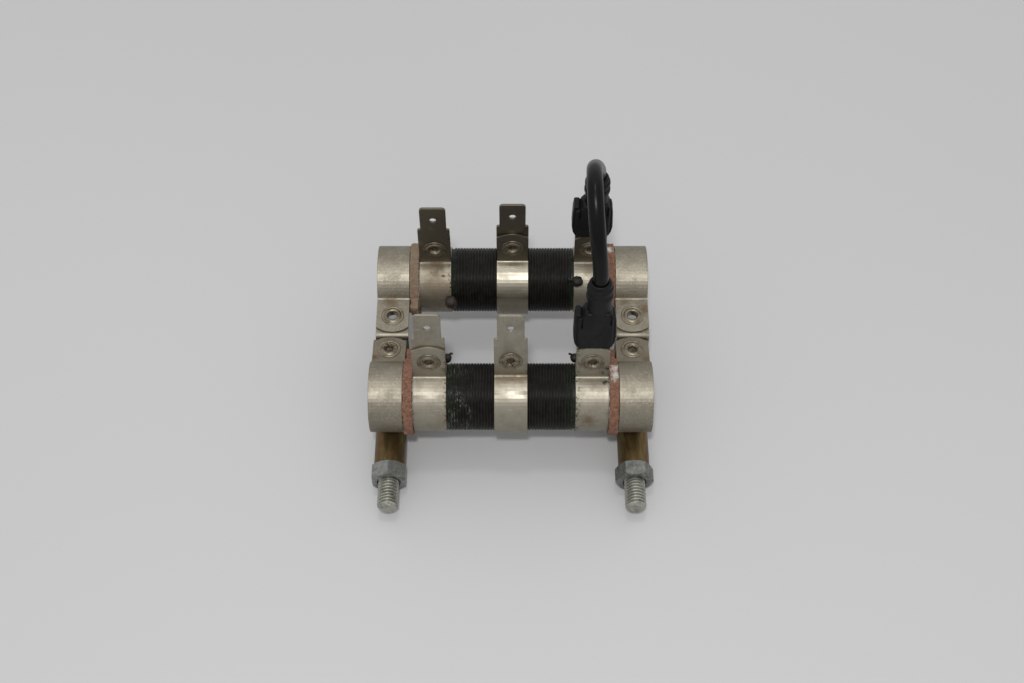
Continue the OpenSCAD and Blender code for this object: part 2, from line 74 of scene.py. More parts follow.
def math_node(tree, operation, a, b=None):
    n = tree.nodes.new("ShaderNodeMath")
    n.operation = operation
    feed(tree, a, n.inputs[0])
    if b is not None:
        feed(tree, b, n.inputs[1])
    return n.outputs[0]


def times(tree, a, b):
    return math_node(tree, "MULTIPLY", a, b)


def distance_from(tree, value, place):
    return math_node(tree, "ABSOLUTE", math_node(tree, "SUBTRACT", value, place))


def mix(tree, share, a, b):
    """Mixes two colours."""
    n = tree.nodes.new("ShaderNodeMix")
    n.data_type = "RGBA"
    for index, value in ((0, share), (6, a), (7, b)):
        feed(tree, value, n.inputs[index])
    return n.outputs[2]


print("wiring helpers ready")

# %% [markdown]
# Patterns start from noise. Stretching its coordinates draws it out into streaks, and
# cutting a soft band out of its values turns it into patches.

# %% Pattern helpers
def noise(tree, vector, scale, detail=3.0, rough=0.55, distortion=0.0):
    n = tree.nodes.new("ShaderNodeTexNoise")
    for label, value in (("Vector", vector), ("Scale", scale), ("Detail", detail),
                         ("Roughness", rough), ("Distortion", distortion)):
        feed(tree, value, n.inputs[label])
    return n.outputs["Fac"]


def stretched(tree, vector, scale, turned=(0, 0, 0)):
    """Coordinates scaled along each axis and turned by degrees."""
    n = tree.nodes.new("ShaderNodeMapping")
    n.inputs["Rotation"].default_value = [math.radians(v) for v in turned]
    feed(tree, scale, n.inputs["Scale"])
    wire(tree, vector, n.inputs["Vector"])
    return n.outputs["Vector"]


def between(tree, value, low, high):
    """0 below low, 1 above high, smooth between."""
    n = tree.nodes.new("ShaderNodeMapRange")
    n.interpolation_type = "SMOOTHSTEP"
    for label, given in (("Value", value), ("From Min", low), ("From Max", high)):
        feed(tree, given, n.inputs[label])
    return n.outputs["Result"]


def put_masks(tree, made, rows):
    """Cuts each row's field, between its low and its high, into a group's output of that name."""
    for label, field, low, high in rows:
        wire(tree, between(tree, field, low, high), made[label])


def axes(tree, vector):
    """The three outputs X, Y and Z of a position."""
    n = tree.nodes.new("ShaderNodeSeparateXYZ")
    wire(tree, vector, n.inputs[0])
    return n.outputs


print("pattern helpers ready")

# %% [markdown]
# What several finishes share is built once, as a node group with named inputs and
# outputs. It puts out masks and heights, and each material turns those into its own
# colours.

# %% Making and using a group
ORIGIN = (0.0, 0.0, 0.0)


def group(name, inputs, outputs):
    """A new group's tree, what it is given and what it puts out; a triple makes a vector input."""
    tree = bpy.data.node_groups.new(name, "ShaderNodeTree")
    for label, start in inputs.items():
        kind = "NodeSocketVector" if isinstance(start, tuple) else "NodeSocketFloat"
        socket = tree.interface.new_socket(name=label, in_out="INPUT", socket_type=kind)
        socket.default_value = start
    for label in outputs:
        tree.interface.new_socket(name=label, in_out="OUTPUT", socket_type="NodeSocketFloat")
    return tree, tree.nodes.new("NodeGroupInput").outputs, tree.nodes.new("NodeGroupOutput").inputs


def use(tree, made, **values):
    """Places a group in a tree with its own values and returns its outputs."""
    n = tree.nodes.new("ShaderNodeGroup")
    n.node_tree = made
    for label, value in values.items():
        feed(tree, value, n.inputs[label])
    return n.outputs


print("group helpers ready")

# %% [markdown]
# ### Rolled grain and scratches
# Rolled strip carries a faint grain along its length and short scratches at many
# angles. A scratch field is a thin band cut out of a stretched noise. Three fields at
# different angles are laid over each other and kept to patches.

# %% Grain and scratches
def make_grain():
    tree, given, made = group("rolled_grain", {"Vector": ORIGIN}, ["Height"])
    fine = noise(tree, stretched(tree, given["Vector"], (9000, 700, 700)), 1.0, 2.0)
    cross = noise(tree, stretched(tree, given["Vector"], (2600, 2600, 2600)), 1.0)
    wire(tree, math_node(tree, "ADD", times(tree, fine, 0.6), times(tree, cross, 0.4)), made["Height"])
    return tree


def make_scratches():
    tree, given, made = group("fine_scratches", {"Vector": ORIGIN}, ["Mask"])
    fields = []
    for turned, scale in (((35, 0, 20), (260, 5200, 260)), ((10, 0, -50), (240, 240, 4700)),
                          ((-30, 0, 75), (5000, 280, 280))):
        lines = noise(tree, stretched(tree, given["Vector"], scale, turned), 1.0, 1.0)
        fields.append(between(tree, lines, 0.68, 0.74))
    total = math_node(tree, "MAXIMUM", math_node(tree, "MAXIMUM", fields[0], fields[1]), fields[2])
    patches = between(tree, noise(tree, given["Vector"], 420, 2.0), 0.42, 0.62)
    wire(tree, times(tree, total, patches), made["Mask"])
    return tree


GRAIN = make_grain()
SCRATCHES = make_scratches()
print("groups:", GRAIN.name, SCRATCHES.name)

# %% [markdown]
# ### A stain at one place
# A stain is a ball of influence round a centre, whose rim noise pushes in and out. The
# more ragged it is, the more it breaks up into spots.

# %% Ragged spot
def make_spot():
    tree, given, made = group("ragged_spot", {
        "Vector": ORIGIN, "Centre": ORIGIN, "Radius": 0.002, "Ragged": 0.5}, ["Mask"])
    away = tree.nodes.new("ShaderNodeVectorMath")
    away.operation = "DISTANCE"
    wire(tree, given["Vector"], away.inputs[0])
    wire(tree, given["Centre"], away.inputs[1])
    share = math_node(tree, "DIVIDE", away.outputs["Value"], given["Radius"])
    wobble = math_node(tree, "SUBTRACT", noise(tree, given["Vector"], 900, 4.0, 0.65), 0.5)
    share = math_node(tree, "ADD", share, times(tree, times(tree, wobble, 4.0), given["Ragged"]))
    wire(tree, math_node(tree, "SUBTRACT", 1.0, between(tree, share, 0.1, 1.25)), made["Mask"])
    return tree


SPOT = make_spot()
print("group:", SPOT.name)

# %% [markdown]
# ### What gathers beside an edge
# Residue gathers where a band ends against the winding. This mask is full on a plane
# across the tube and fades out within a given reach on both sides of it.

# %% Beside an edge
def make_beside():
    tree, given, made = group("beside_edge", {"Vector": ORIGIN, "Edge": 0.0, "Reach": 0.002}, ["Share"])
    away = distance_from(tree, axes(tree, given["Vector"])["X"], given["Edge"])
    wire(tree, math_node(tree, "SUBTRACT", 1.0, between(tree, away, 0.0, given["Reach"])), made["Share"])
    return tree


BESIDE = make_beside()
print("group:", BESIDE.name)

# %% [markdown]
# ### Wear of the plated strip
# All clamps and terminals share the same signs of age: broad dull clouds, dark freckles,
# streaks along the strip, dots of residue, and bright grains where the plate is coarse.

# %% Plate wear
def make_plate_wear():
    tree, given, made = group("plate_wear", {"Vector": ORIGIN}, ["Cloud", "Freckle", "Streak", "Dots", "Glint"])
    where = given["Vector"]
    along = stretched(tree, where, (7000, 330, 330))
    put_masks(tree, made, [
        ("Cloud", noise(tree, where, 260, 4.0, 0.6), 0.38, 0.72),
        ("Freckle", noise(tree, where, 2600, 2.0), 0.63, 0.75),
        ("Streak", noise(tree, along, 1.0, 3.0, 0.6), 0.45, 0.75),
        ("Dots", noise(tree, where, 1500, 5.0, 0.7), 0.5, 0.62),
        ("Glint", noise(tree, where, 2100), 0.5, 0.68)])
    return tree


PLATE_WEAR = make_plate_wear()
print("group:", PLATE_WEAR.name)

# %% [markdown]
# ### Starting a material
# Every finish starts from the same three things: its tree, its main shader and its
# Object coordinates. Fine relief always goes through a bump node.

# %% Material helpers
def material(name):
    """Returns the material, its tree, its shader and its Object coordinates."""
    mat = bpy.data.materials.new(name)
    mat.use_nodes = True
    tree = mat.node_tree
    coords = tree.nodes.new("ShaderNodeTexCoord").outputs["Object"]
    return mat, tree, tree.nodes["Principled BSDF"], coords


def bump(tree, shader, height, distance, strength):
    n = tree.nodes.new("ShaderNodeBump")
    feed(tree, strength, n.inputs["Strength"])
    feed(tree, distance, n.inputs["Distance"])
    wire(tree, height, n.inputs["Height"])
    wire(tree, n.outputs["Normal"], shader.inputs["Normal"])


print("material helpers ready")

# %% [markdown]
# ### Nickel-plated strip
# The clamps and terminals are bent from steel strip with a dull, warm nickel plate. It
# is metal with a satin roughness. Handling left fine scratches, and heat left brown
# patches near the tubes. One function mixes the worn plate, and each piece gets its own
# stains, because no two of them aged alike.

# %% Nickel
CLEAN_NICKEL, DULL_NICKEL = (0.335, 0.308, 0.25), (0.235, 0.205, 0.155)
CLAMP_FROM, CLAMP_FULL = 24.5 * MM, 26.0 * MM
TAB_FROM, TAB_FULL = 24.6 * MM, 27.5 * MM


def worn_plate(tree, co, wear, scratch, worn):
    """The plate's colour before stains, darker and with bright grains on the outer clamps."""
    colour = mix(tree, times(tree, wear["Cloud"], worn), CLEAN_NICKEL, DULL_NICKEL)
    colour = mix(tree, times(tree, wear["Freckle"], 0.35), colour, (0.13, 0.1, 0.065))
    colour = mix(tree, times(tree, wear["Streak"], 0.28), colour, (0.2, 0.175, 0.13))
    colour = mix(tree, times(tree, scratch, 0.5), colour, (0.5, 0.47, 0.4))
    outward = between(tree, math_node(tree, "ABSOLUTE", axes(tree, co)["X"]), CLAMP_FROM, CLAMP_FULL)
    colour = mix(tree, times(tree, outward, 0.34), colour, (0.15, 0.13, 0.095))
    return mix(tree, times(tree, times(tree, wear["Glint"], outward), 0.3), colour, (0.48, 0.45, 0.38))


def nickel(name, tab_shade=0.0, spots=(), shaded_brown_ears=False, fringe=None, satin=0.46, worn=0.45):
    """Spots are (centre, radius, tint, ragged, strength), a fringe is (edge, reach, tint), in mm."""
    mat, tree, shader, co = material(name)
    wear = use(tree, PLATE_WEAR, Vector=co)
    scratch = use(tree, SCRATCHES, Vector=co)["Mask"]
    colour = worn_plate(tree, co, wear, scratch, worn)
    rough = math_node(tree, "ADD", satin, times(tree, wear["Cloud"], 0.12))
    place = axes(tree, co)
    # Painted shade in a brown tint on the front clamps' ears, which tilt away from the light.
    if shaded_brown_ears:
        flat = between(tree, place["Y"], -4.4 * MM, -3.4 * MM)
        flat = times(tree, flat, between(tree, place["Z"], 22 * MM, 21 * MM))
        colour = mix(tree, times(tree, flat, 0.32), colour, (0.09, 0.065, 0.035))
    # Painted shade: the tops of the back tabs are darkened to a dark brown.
    if tab_shade:
        shaded = mix(tree, tab_shade, colour, (0.04, 0.028, 0.012))
        colour = mix(tree, between(tree, place["Z"], TAB_FROM, TAB_FULL), colour, shaded)
    stains = []
    if fringe:
        edge, reach, tint = fringe
        near = use(tree, BESIDE, Vector=co, Edge=edge * MM, Reach=reach * MM)["Share"]
        stains.append((times(tree, wear["Dots"], near), tint))
    for centre, radius, tint, ragged, strength in spots:
        centre = tuple(v * MM for v in centre)
        mask = use(tree, SPOT, Vector=co, Centre=centre, Radius=radius * MM, Ragged=ragged)["Mask"]
        stains.append((times(tree, mask, strength), tint))
    for mask, tint in stains:
        colour = mix(tree, mask, colour, tint)
        rough = math_node(tree, "ADD", rough, times(tree, mask, 0.3))
    wire(tree, colour, shader.inputs["Base Color"])
    wire(tree, rough, shader.inputs["Roughness"])
    shader.inputs["Metallic"].default_value = 1.0
    height = math_node(tree, "SUBTRACT", use(tree, GRAIN, Vector=co)["Height"], times(tree, scratch, 0.5))
    bump(tree, shader, height, 0.02 * MM, 0.8)
    return mat


print("plated strip ready to mix")

# %% [markdown]
# The terminals next to the winding caught soot, rust and a little green from its ends.
# The middle ones stayed brighter, and the tabs at the back get painted shade, a dark brown towards their tops.

# %% Nickel of each place
RUST, SOOT = (0.13, 0.06, 0.025), (0.012, 0.014, 0.011)
VERDIGRIS, TAN = (0.015, 0.04, 0.022), (0.16, 0.1, 0.045)
BACK_TAB_SHADE = 0.55
NICKEL_BACK = nickel("nickel_plate_back", BACK_TAB_SHADE, [
    ((-17.0, 20.6, 24.0), 0.38, VERDIGRIS, 1.6, 0.55), ((-19.1, 19.0, 22.5), 7.0, TAN, 0.3, 0.38),
    ((-19.3, 24.0, 25.1), 3.0, TAN, 0.5, 0.4), ((18.6, 22.5, 24.6), 2.0, TAN, 0.6, 0.35)],
    fringe=(-15.0, 1.3, SOOT))
NICKEL_BACK_MIDDLE = nickel("nickel_plate_back_middle", BACK_TAB_SHADE, satin=0.34, worn=0.3)
NICKEL_BACK_CLAMP = nickel("nickel_plate_clamp", spots=[
    ((-29.8, 15.6, 19.8), 2.4, TAN, 0.5, 0.5), ((32.4, 14.0, 19.4), 2.2, TAN, 0.6, 0.6),
    ((28.0, 16.0, 19.8), 1.6, TAN, 0.5, 0.45)])
NICKEL_FRONT_LEFT = nickel("nickel_plate_front_left", spots=[
    ((-33.6, -1.0, 19.4), 1.7, RUST, 0.6, 0.6), ((-33.2, -4.0, 20.2), 1.3, TAN, 0.6, 0.6),
    ((-16.0, -9.2, 27.5), 1.0, SOOT, 0.8, 0.7)],
    shaded_brown_ears=True, fringe=(-15.4, 1.4, RUST))
NICKEL_FRONT_RIGHT = nickel("nickel_plate_front_right", spots=[
    ((22.3, -9.2, 28.4), 1.2, SOOT, 0.9, 0.9), ((21.2, -9.4, 26.9), 1.0, VERDIGRIS, 0.9, 0.9),
    ((21.6, -11.6, 25.0), 0.8, SOOT, 1.4, 0.8), ((17.9, -18.2, 18.8), 2.4, TAN, 0.5, 0.5),
    ((32.4, -1.5, 20.0), 1.4, TAN, 0.6, 0.5)],
    shaded_brown_ears=True, fringe=(14.7, 2.0, VERDIGRIS))
NICKEL_FRONT_MIDDLE = nickel("nickel_plate_middle", satin=0.38, spots=[
    ((x, -10.6, 25.1), 2.5, TAN, 0.3, 0.4) for x in (-3.6, -0.4, 2.8)])
print("nickel finishes: 6")

# %% [markdown]
# ### Winding enamel
# The resistance wire is black with oxide and a thin cement, slightly glossy on the
# crowns and dusty in the grooves, and a little green beside the terminals. Both tubes
# share that surface as a group.

# %% Enamel surface
def make_enamel():
    tree, given, made = group("enamel_surface", {"Vector": ORIGIN}, [
        "Mottle", "Residue", "Specks", "Spread", "Height"])
    where = given["Vector"]
    put_masks(tree, made, [
        ("Mottle", noise(tree, where, 700, 4.0), 0.35, 0.7),
        ("Residue", noise(tree, where, 1100, 4.0, 0.7), 0.35, 0.75),
        ("Specks", noise(tree, where, 2300), 0.53, 0.62)])
    wire(tree, times(tree, noise(tree, where, 1500), 0.25), made["Spread"])
    wire(tree, noise(tree, where, 5200), made["Height"])
    return tree


ENAMEL = make_enamel()
print("group:", ENAMEL.name)

# %% [markdown]
# The left section of the front winding was scuffed pale. The scuffs are thin bands of
# four stretched noises, and only the end of the tube has them.

# %% Winding finish
def scuffs(tree, co):
    """A mask of pale marks on the left section."""
    marks = None
    for turned, scale in ((0, (5600, 420, 420)), (25, (1500, 4600, 900)),
                          (-40, (4200, 400, 1500)), (10, (4800, 700, 700))):
        field = noise(tree, stretched(tree, co, scale, (turned, 0, 0)), 1.0, 2.0)
        field = between(tree, field, 0.63, 0.7)
        marks = field if marks is None else math_node(tree, "MAXIMUM", marks, field)
    section = between(tree, axes(tree, co)["X"], -8.2 * MM, -10.8 * MM)
    patches = times(tree, section, between(tree, noise(tree, co, 420), 0.4, 0.62))
    return times(tree, times(tree, marks, patches), 0.85)


def winding_finish(name, green_at, scuffed):
    """Green residue is given as (edge, reach) in mm."""
    mat, tree, shader, co = material(name)
    enamel = use(tree, ENAMEL, Vector=co)
    colour = mix(tree, enamel["Mottle"], (0.005, 0.0044, 0.0038), (0.012, 0.0104, 0.0088))
    for edge, reach in green_at:
        near = use(tree, BESIDE, Vector=co, Edge=edge * MM, Reach=reach * MM)["Share"]
        near = times(tree, near, enamel["Residue"])
        colour = mix(tree, times(tree, near, 0.6), colour, (0.014, 0.027, 0.012))
        colour = mix(tree, times(tree, near, enamel["Specks"]), colour, (0.028, 0.06, 0.032))
    if scuffed:
        colour = mix(tree, scuffs(tree, co), colour, (0.17, 0.17, 0.14))
    wire(tree, colour, shader.inputs["Base Color"])
    wire(tree, math_node(tree, "ADD", 0.27, enamel["Spread"]), shader.inputs["Roughness"])
    shader.inputs["Specular IOR Level"].default_value = 0.13
    bump(tree, shader, enamel["Height"], 0.02 * MM, 0.5)
    return mat


WINDING_FINISH = {
    "front": winding_finish("winding_enamel_front", [(-15.2, 3.0), (14.6, 3.6)], True),
    "back": winding_finish("winding_enamel_back", [(-14.9, 2.0), (14.9, 1.6)], False),
}
print("winding finishes:", len(WINDING_FINISH))

# %% [markdown]
# ### Fibre strip
# The insulating strip is a dry red-brown fibre, rough all over with paler threads. The
# one at the back left has dried out to tan, and those on the right are torn down to a
# white core in places. The threads are a group, since all three kinds have them.

# %% Fibre
def make_threads():
    tree, given, made = group("fibre_threads", {"Vector": ORIGIN}, ["Lump", "Threads", "Pale"])
    where = given["Vector"]
    drawn = stretched(tree, where, (700, 3600, 3600))
    wire(tree, noise(tree, where, 1300, 5.0, 0.7, 0.6), made["Lump"])
    put_masks(tree, made, [
        ("Threads", noise(tree, drawn, 1.0, 4.0, 0.6, 1.5), 0.5, 0.72),
        ("Pale", noise(tree, where, 340), 0.66, 0.74)])
    return tree


THREADS = make_threads()
TEARS = [(24.0, -10.6, 26.3), (24.1, -7.9, 26.0), (23.9, 28.2, 25.4)]


def fibre_finish(name, torn=False, dried=0.0):
    mat, tree, shader, co = material(name)
    fibre = use(tree, THREADS, Vector=co)
    colour = mix(tree, between(tree, fibre["Lump"], 0.3, 0.7), (0.11, 0.046, 0.026), (0.235, 0.12, 0.076))
    colour = mix(tree, times(tree, fibre["Threads"], 0.45), colour, (0.3, 0.185, 0.13))
    colour = mix(tree, times(tree, fibre["Pale"], 0.65), colour, (0.36, 0.29, 0.25))
    if dried:
        dry = noise(tree, stretched(tree, co, (900, 300, 300)), 1.0, 4.0, 0.7)
        colour = mix(tree, times(tree, between(tree, dry, 0.22, 0.5), dried), colour, (0.195, 0.148, 0.1))
    for tear in TEARS if torn else ():
        centre = tuple(v * MM for v in tear)
        bare = use(tree, SPOT, Vector=co, Centre=centre, Radius=1.35 * MM, Ragged=0.8)["Mask"]
        colour = mix(tree, bare, colour, (0.5, 0.47, 0.44))
    wire(tree, colour, shader.inputs["Base Color"])
    shader.inputs["Roughness"].default_value = 0.95
    bump(tree, shader, math_node(tree, "ADD", fibre["Lump"], times(tree, fibre["Threads"], 0.5)), 0.12 * MM, 0.8)
    return mat


FIBRE = fibre_finish("fibre_strip")
FIBRE_DRIED = fibre_finish("fibre_strip_pale", dried=0.9)
FIBRE_TORN = fibre_finish("fibre_strip_torn", torn=True)
print("fibre finishes: 3")

# %% [markdown]
# ### Plain finishes
# The rest needs no more than a drift between two or three colours and a fine surface:
# dull grey zinc with a darker copy as painted shade, brown oxide, painted shade for the
# struck holes, brass and black plastic. The drift and the surface are two groups, and each
# finish gives them its own scale. The spacers' yellow-brown passivation drifts in streaks
# along them.

# %% Colour drift and fine surface
def make_drift():
    tree, given, made = group("colour_drift", {
        "Vector": ORIGIN, "Stretch": (1.0, 1.0, 1.0), "Scale": 500.0, "Detail": 3.0, "Roughness": 0.55}, ["Mask"])
    where = stretched(tree, given["Vector"], given["Stretch"])
    field = noise(tree, where, given["Scale"], given["Detail"], given["Roughness"])
    wire(tree, between(tree, field, 0.42, 0.66), made["Mask"])
    return tree


def make_surface():
    tree, given, made = group("fine_surface", {"Vector": ORIGIN, "Gloss": 900.0, "Grain": 3000.0}, ["Spread", "Height"])
    wire(tree, times(tree, noise(tree, given["Vector"], given["Gloss"]), 0.16), made["Spread"])
    wire(tree, noise(tree, given["Vector"], given["Grain"], 3.0, 0.6), made["Height"])
    return tree


DRIFT, SURFACE = make_drift(), make_surface()
print("groups:", DRIFT.name, SURFACE.name)

# %% [markdown]
# The ceramic tubes are white and matt. Under the winding, and a little past its ends,
# they are dark, so no white line shows beside the last turn.

# %% Plain finish
ROW_MIDDLE, ROW_HALF_SPACING, TUBE_HEIGHT = 7.3 * MM, 17.6 * MM, 17.02 * MM


def under_winding(tree, co):
    """A mask on the outside of both tubes, between the outer terminals."""
    place = axes(tree, co)
    across = math_node(tree, "SUBTRACT", distance_from(tree, place["Y"], ROW_MIDDLE), ROW_HALF_SPACING)
    up = math_node(tree, "SUBTRACT", place["Z"], TUBE_HEIGHT)
    radius = math_node(tree, "SQRT", math_node(tree, "ADD", times(tree, across, across), times(tree, up, up)))
    length = math_node(tree, "ABSOLUTE", place["X"])
    return times(tree, between(tree, radius, 5.5 * MM, 6 * MM), between(tree, length, 16.5 * MM, 16 * MM))


def plain_finish(name, colours, rough, metal, scale, grain, depth, along=(1, 1, 1), tint_under_winding=None):
    """A finish that drifts between several colours; depth is its relief in mm."""
    mat, tree, shader, co = material(name)
    colour = colours[0]
    for i, tint in enumerate(colours[1:]):
        drift = {"Scale": scale, "Detail": 4.0, "Roughness": 0.6} if i == 0 else {"Scale": scale * (i + 1.7)}
        mask = use(tree, DRIFT, Vector=co, Stretch=along, **drift)["Mask"]
        colour = mix(tree, mask, colour, tint)
    if tint_under_winding:
        colour = mix(tree, under_winding(tree, co), colour, tint_under_winding)
    surface = use(tree, SURFACE, Vector=co, Gloss=scale * 3, Grain=grain)
    wire(tree, colour, shader.inputs["Base Color"])
    wire(tree, math_node(tree, "ADD", rough - 0.08, surface["Spread"]), shader.inputs["Roughness"])
    shader.inputs["Metallic"].default_value = metal
    bump(tree, shader, surface["Height"], depth * MM, 0.6)
    return mat


CERAMIC = plain_finish("ceramic_white", [(0.74, 0.72, 0.68), (0.62, 0.58, 0.52)],
                       0.6, 0.0, 220, 3000, 0.03, tint_under_winding=(0.011, 0.014, 0.009))
ZINC = plain_finish("zinc_plate", [(0.27, 0.283, 0.265), (0.17, 0.18, 0.165), (0.32, 0.332, 0.315)],
                    0.5, 1.0, 420, 3600, 0.02)
# A darker copy of the zinc: painted shade that tones down the right nut's flat top under the lamps.
ZINC_SHADED = plain_finish("zinc_plate_shaded", [(0.21, 0.22, 0.2), (0.14, 0.148, 0.13), (0.26, 0.27, 0.25)],
                         0.52, 1.0, 420, 3600, 0.02)
ZINC_WORN = plain_finish("zinc_plate_worn", [(0.39, 0.39, 0.34), (0.25, 0.255, 0.215), (0.46, 0.46, 0.42)],
                         0.42, 1.0, 520, 3600, 0.02)
SPACER = plain_finish("passivated_steel", [(0.12, 0.08, 0.034), (0.135, 0.056, 0.024), (0.15, 0.12, 0.045)],
                      0.42, 0.85, 1.0, 2200, 0.02, along=(480, 100, 480))
EYELET = plain_finish("nickel_eyelet", [(0.25, 0.22, 0.165), (0.16, 0.132, 0.092)], 0.44, 1.0, 700, 4000, 0.02)
# Painted shade for the small holes of the struck eyelets, laid on their closed dimples.
HOLE_SHADE = plain_finish("painted_hole_shade", [(0.13, 0.105, 0.075), (0.06, 0.046, 0.032)], 0.5, 0.8, 1500, 3000, 0.04)
BEAD_BROWN = plain_finish("weld_oxide_brown", [(0.02, 0.0125, 0.009), (0.034, 0.022, 0.016)],
                          0.5, 0.3, 900, 3000, 0.04)
BEAD = plain_finish("weld_oxide", [(0.009, 0.008, 0.007), (0.022, 0.017, 0.013)], 0.5, 0.5, 900, 3000, 0.04)
CONTACT = plain_finish("brass_contact", [(0.3, 0.26, 0.17), (0.2, 0.16, 0.09)], 0.45, 1.0, 500, 3000, 0.01)
SLEEVE = plain_finish("black_sleeve", [(0.004, 0.004, 0.0045), (0.007, 0.007, 0.0078)],
                      0.46, 0.0, 300, 2600, 0.02)
LEAD = plain_finish("black_lead", [(0.0012, 0.0012, 0.0013), (0.0022, 0.0022, 0.0023)],
                    0.3, 0.0, 250, 1400, 0.02)
for soft_black in (SLEEVE, LEAD):
    shader = soft_black.node_tree.nodes["Principled BSDF"]
    shader.inputs["IOR"].default_value = 1.3
    shader.inputs["Specular IOR Level"].default_value = 0.4
print("plain finishes: 12")

# %% [markdown]
# ## Handing a piece over
# A piece that is done gets its finish, rides on the part's only body, and hides the
# pieces of the construction model that it stands for.

# %% Give a finish to a piece
def finish_with(obj, mat):
    if obj.data.materials:
        for i in range(len(obj.data.materials)):
            obj.data.materials[i] = mat
    else:
        obj.data.materials.append(mat)
    return obj


def hand_over(piece, mat, slot, *stands_for):
    """The finished piece gets its material, rides on the part and stands for its nodes."""
    finish_with(piece, mat)
    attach(piece, "root")
    if stands_for:
        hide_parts(*stands_for)
    return piece


print("ready to hand pieces over")

# %% [markdown]
# ## The bent strips
# A clamp is one strip bent round the tube, its two ends laid on each other as an ear,
# and the lower one folded down as a foot. The construction model holds that shape
# exactly, so the node stays. Its triangles are merged, flat faces are cleaned, and the
# sheared edges get the small rounding that a press leaves.

# %% Clamps and terminals
SHEARED_EDGE = 0.08 * MM


def dress_strip(obj, mat):
    weld = obj.modifiers.new("Weld", "WELD")
    weld.merge_threshold = 1e-6
    flat = obj.modifiers.new("Flat faces", "DECIMATE")
    flat.decimate_type = "DISSOLVE"
    flat.angle_limit = math.radians(0.5)
    edge = obj.modifiers.new("Sheared edges", "BEVEL")
    edge.width = SHEARED_EDGE
    edge.segments = 2
    edge.limit_method = "ANGLE"
    edge.angle_limit = math.radians(40)
    finish_with(obj, mat)


STRIP_FINISH = {
    "foot_clamp_front_left": NICKEL_FRONT_LEFT, "foot_clamp_front_right": NICKEL_FRONT_RIGHT,
    "foot_clamp_back_left": NICKEL_BACK_CLAMP, "foot_clamp_back_right": NICKEL_BACK_CLAMP,
    "terminal_front_left": NICKEL_FRONT_LEFT, "terminal_front_middle": NICKEL_FRONT_MIDDLE,
    "terminal_front_right": NICKEL_FRONT_RIGHT, "terminal_back_left": NICKEL_BACK,
    "terminal_back_middle": NICKEL_BACK_MIDDLE, "terminal_back_right": NICKEL_BACK,
}
for name, mat in STRIP_FINISH.items():
    dress_strip(nodes[name], mat)
for row in ("front", "back"):
    finish_with(nodes["receptacle_contact_" + row], CONTACT)
print("strips dressed:", len(STRIP_FINISH))

# %% [markdown]
# ## Small hands: select, edit, finish
# The other pieces are modelled by operators, and an operator acts on what is selected.
# So each step starts from nothing selected, takes one object, and picks some of its
# vertices or faces by their place, as the mouse would.

# %% Selecting
def nothing_selected():
    if bpy.context.object and bpy.context.object.mode != "OBJECT":
        bpy.ops.object.mode_set(mode="OBJECT")
    bpy.ops.object.select_all(action="DESELECT")


def take(obj):
    nothing_selected()
    obj.select_set(True)
    bpy.context.view_layer.objects.active = obj
    return obj


def pick(obj, test, faces=False):
    """Leaves obj in edit mode with what passes the test selected: vertices by place or faces by normal."""
    take(obj)
    mesh = obj.data
    bpy.context.tool_settings.mesh_select_mode = (not faces, False, faces)
    for items in (mesh.vertices, mesh.edges, mesh.polygons):
        for item in items:
            item.select = False
    for item in mesh.polygons if faces else mesh.vertices:
        item.select = test(item.normal if faces else item.co)
    bpy.ops.object.mode_set(mode="EDIT")


def pick_all(obj):
    pick(obj, lambda co: True)


def done():
    bpy.ops.object.mode_set(mode="OBJECT")
    return bpy.context.object


print("selecting ready")

# %% [markdown]
# A piece starts as a primitive and goes through a few modifiers, which are applied one
# by one. Its place ends up in its mesh, with the object itself at the origin.

# %% Making and moving
def add(kind, name, **how):
    """Adds a primitive, with its place and turn applied to its mesh."""
    nothing_selected()
    getattr(bpy.ops.mesh, "primitive_" + kind + "_add")(**how)
    obj = bpy.context.object
    obj.name = name
    bpy.ops.object.transform_apply(location=True, rotation=True, scale=True)
    return obj


def modify(obj, kind, **how):
    """Adds a modifier, sets it and applies it."""
    take(obj)
    m = obj.modifiers.new(kind.title(), kind)
    for key, value in how.items():
        setattr(m, key, value)
    bpy.ops.object.modifier_apply(modifier=m.name)
    return obj


def turn(obj, matrix):
    obj.data.transform(matrix)
    obj.data.update()
    return obj


def smooth(obj, angle=35):
    take(obj)
    bpy.ops.object.shade_smooth_by_angle(angle=math.radians(angle))
    return obj


def middle(node):
    low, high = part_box(node)
    return (low + high) / 2


print("making and moving ready")

# %% [markdown]
# ## Ceramic tubes
# Each core is an extruded and fired tube with a slight edge on its rims. A boolean cut
# would do, but a cylinder whose end faces are inset, and whose two inner rings are
# bridged, keeps clean faces. The cement under the wire and the fibre under the clamps
# are such tubes as well, so the step is a helper.

# %% Cores
ALONG_X = (0, math.pi / 2, 0)
CORE_BORE_R = 4.5 * MM


def tube_piece(name, outer_r, inner_r, length, sides=128):
    """An open tube along X."""
    tube = add("cylinder", name, vertices=sides, radius=outer_r, depth=length, rotation=ALONG_X)
    pick(tube, lambda normal: abs(normal.x) > 0.9, faces=True)
    bpy.ops.mesh.inset(thickness=outer_r - inner_r)
    bpy.ops.mesh.bridge_edge_loops()
    return done()


def make_core(row):
    low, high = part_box("ceramic_core_" + row)
    core = tube_piece("core_" + row, (high.z - low.z) / 2, CORE_BORE_R, high.x - low.x, 96)
    modify(core, "BEVEL", width=0.25 * MM, segments=3, limit_method="ANGLE", angle_limit=math.radians(40))
    turn(core, Matrix.Translation((low + high) / 2))
    smooth(core)
    return hand_over(core, CERAMIC, "ceramic", "ceramic_core_" + row)


for row in ("front", "back"):
    print(make_core(row).name, [round(v / MM, 1) for v in middle("ceramic_core_" + row)])

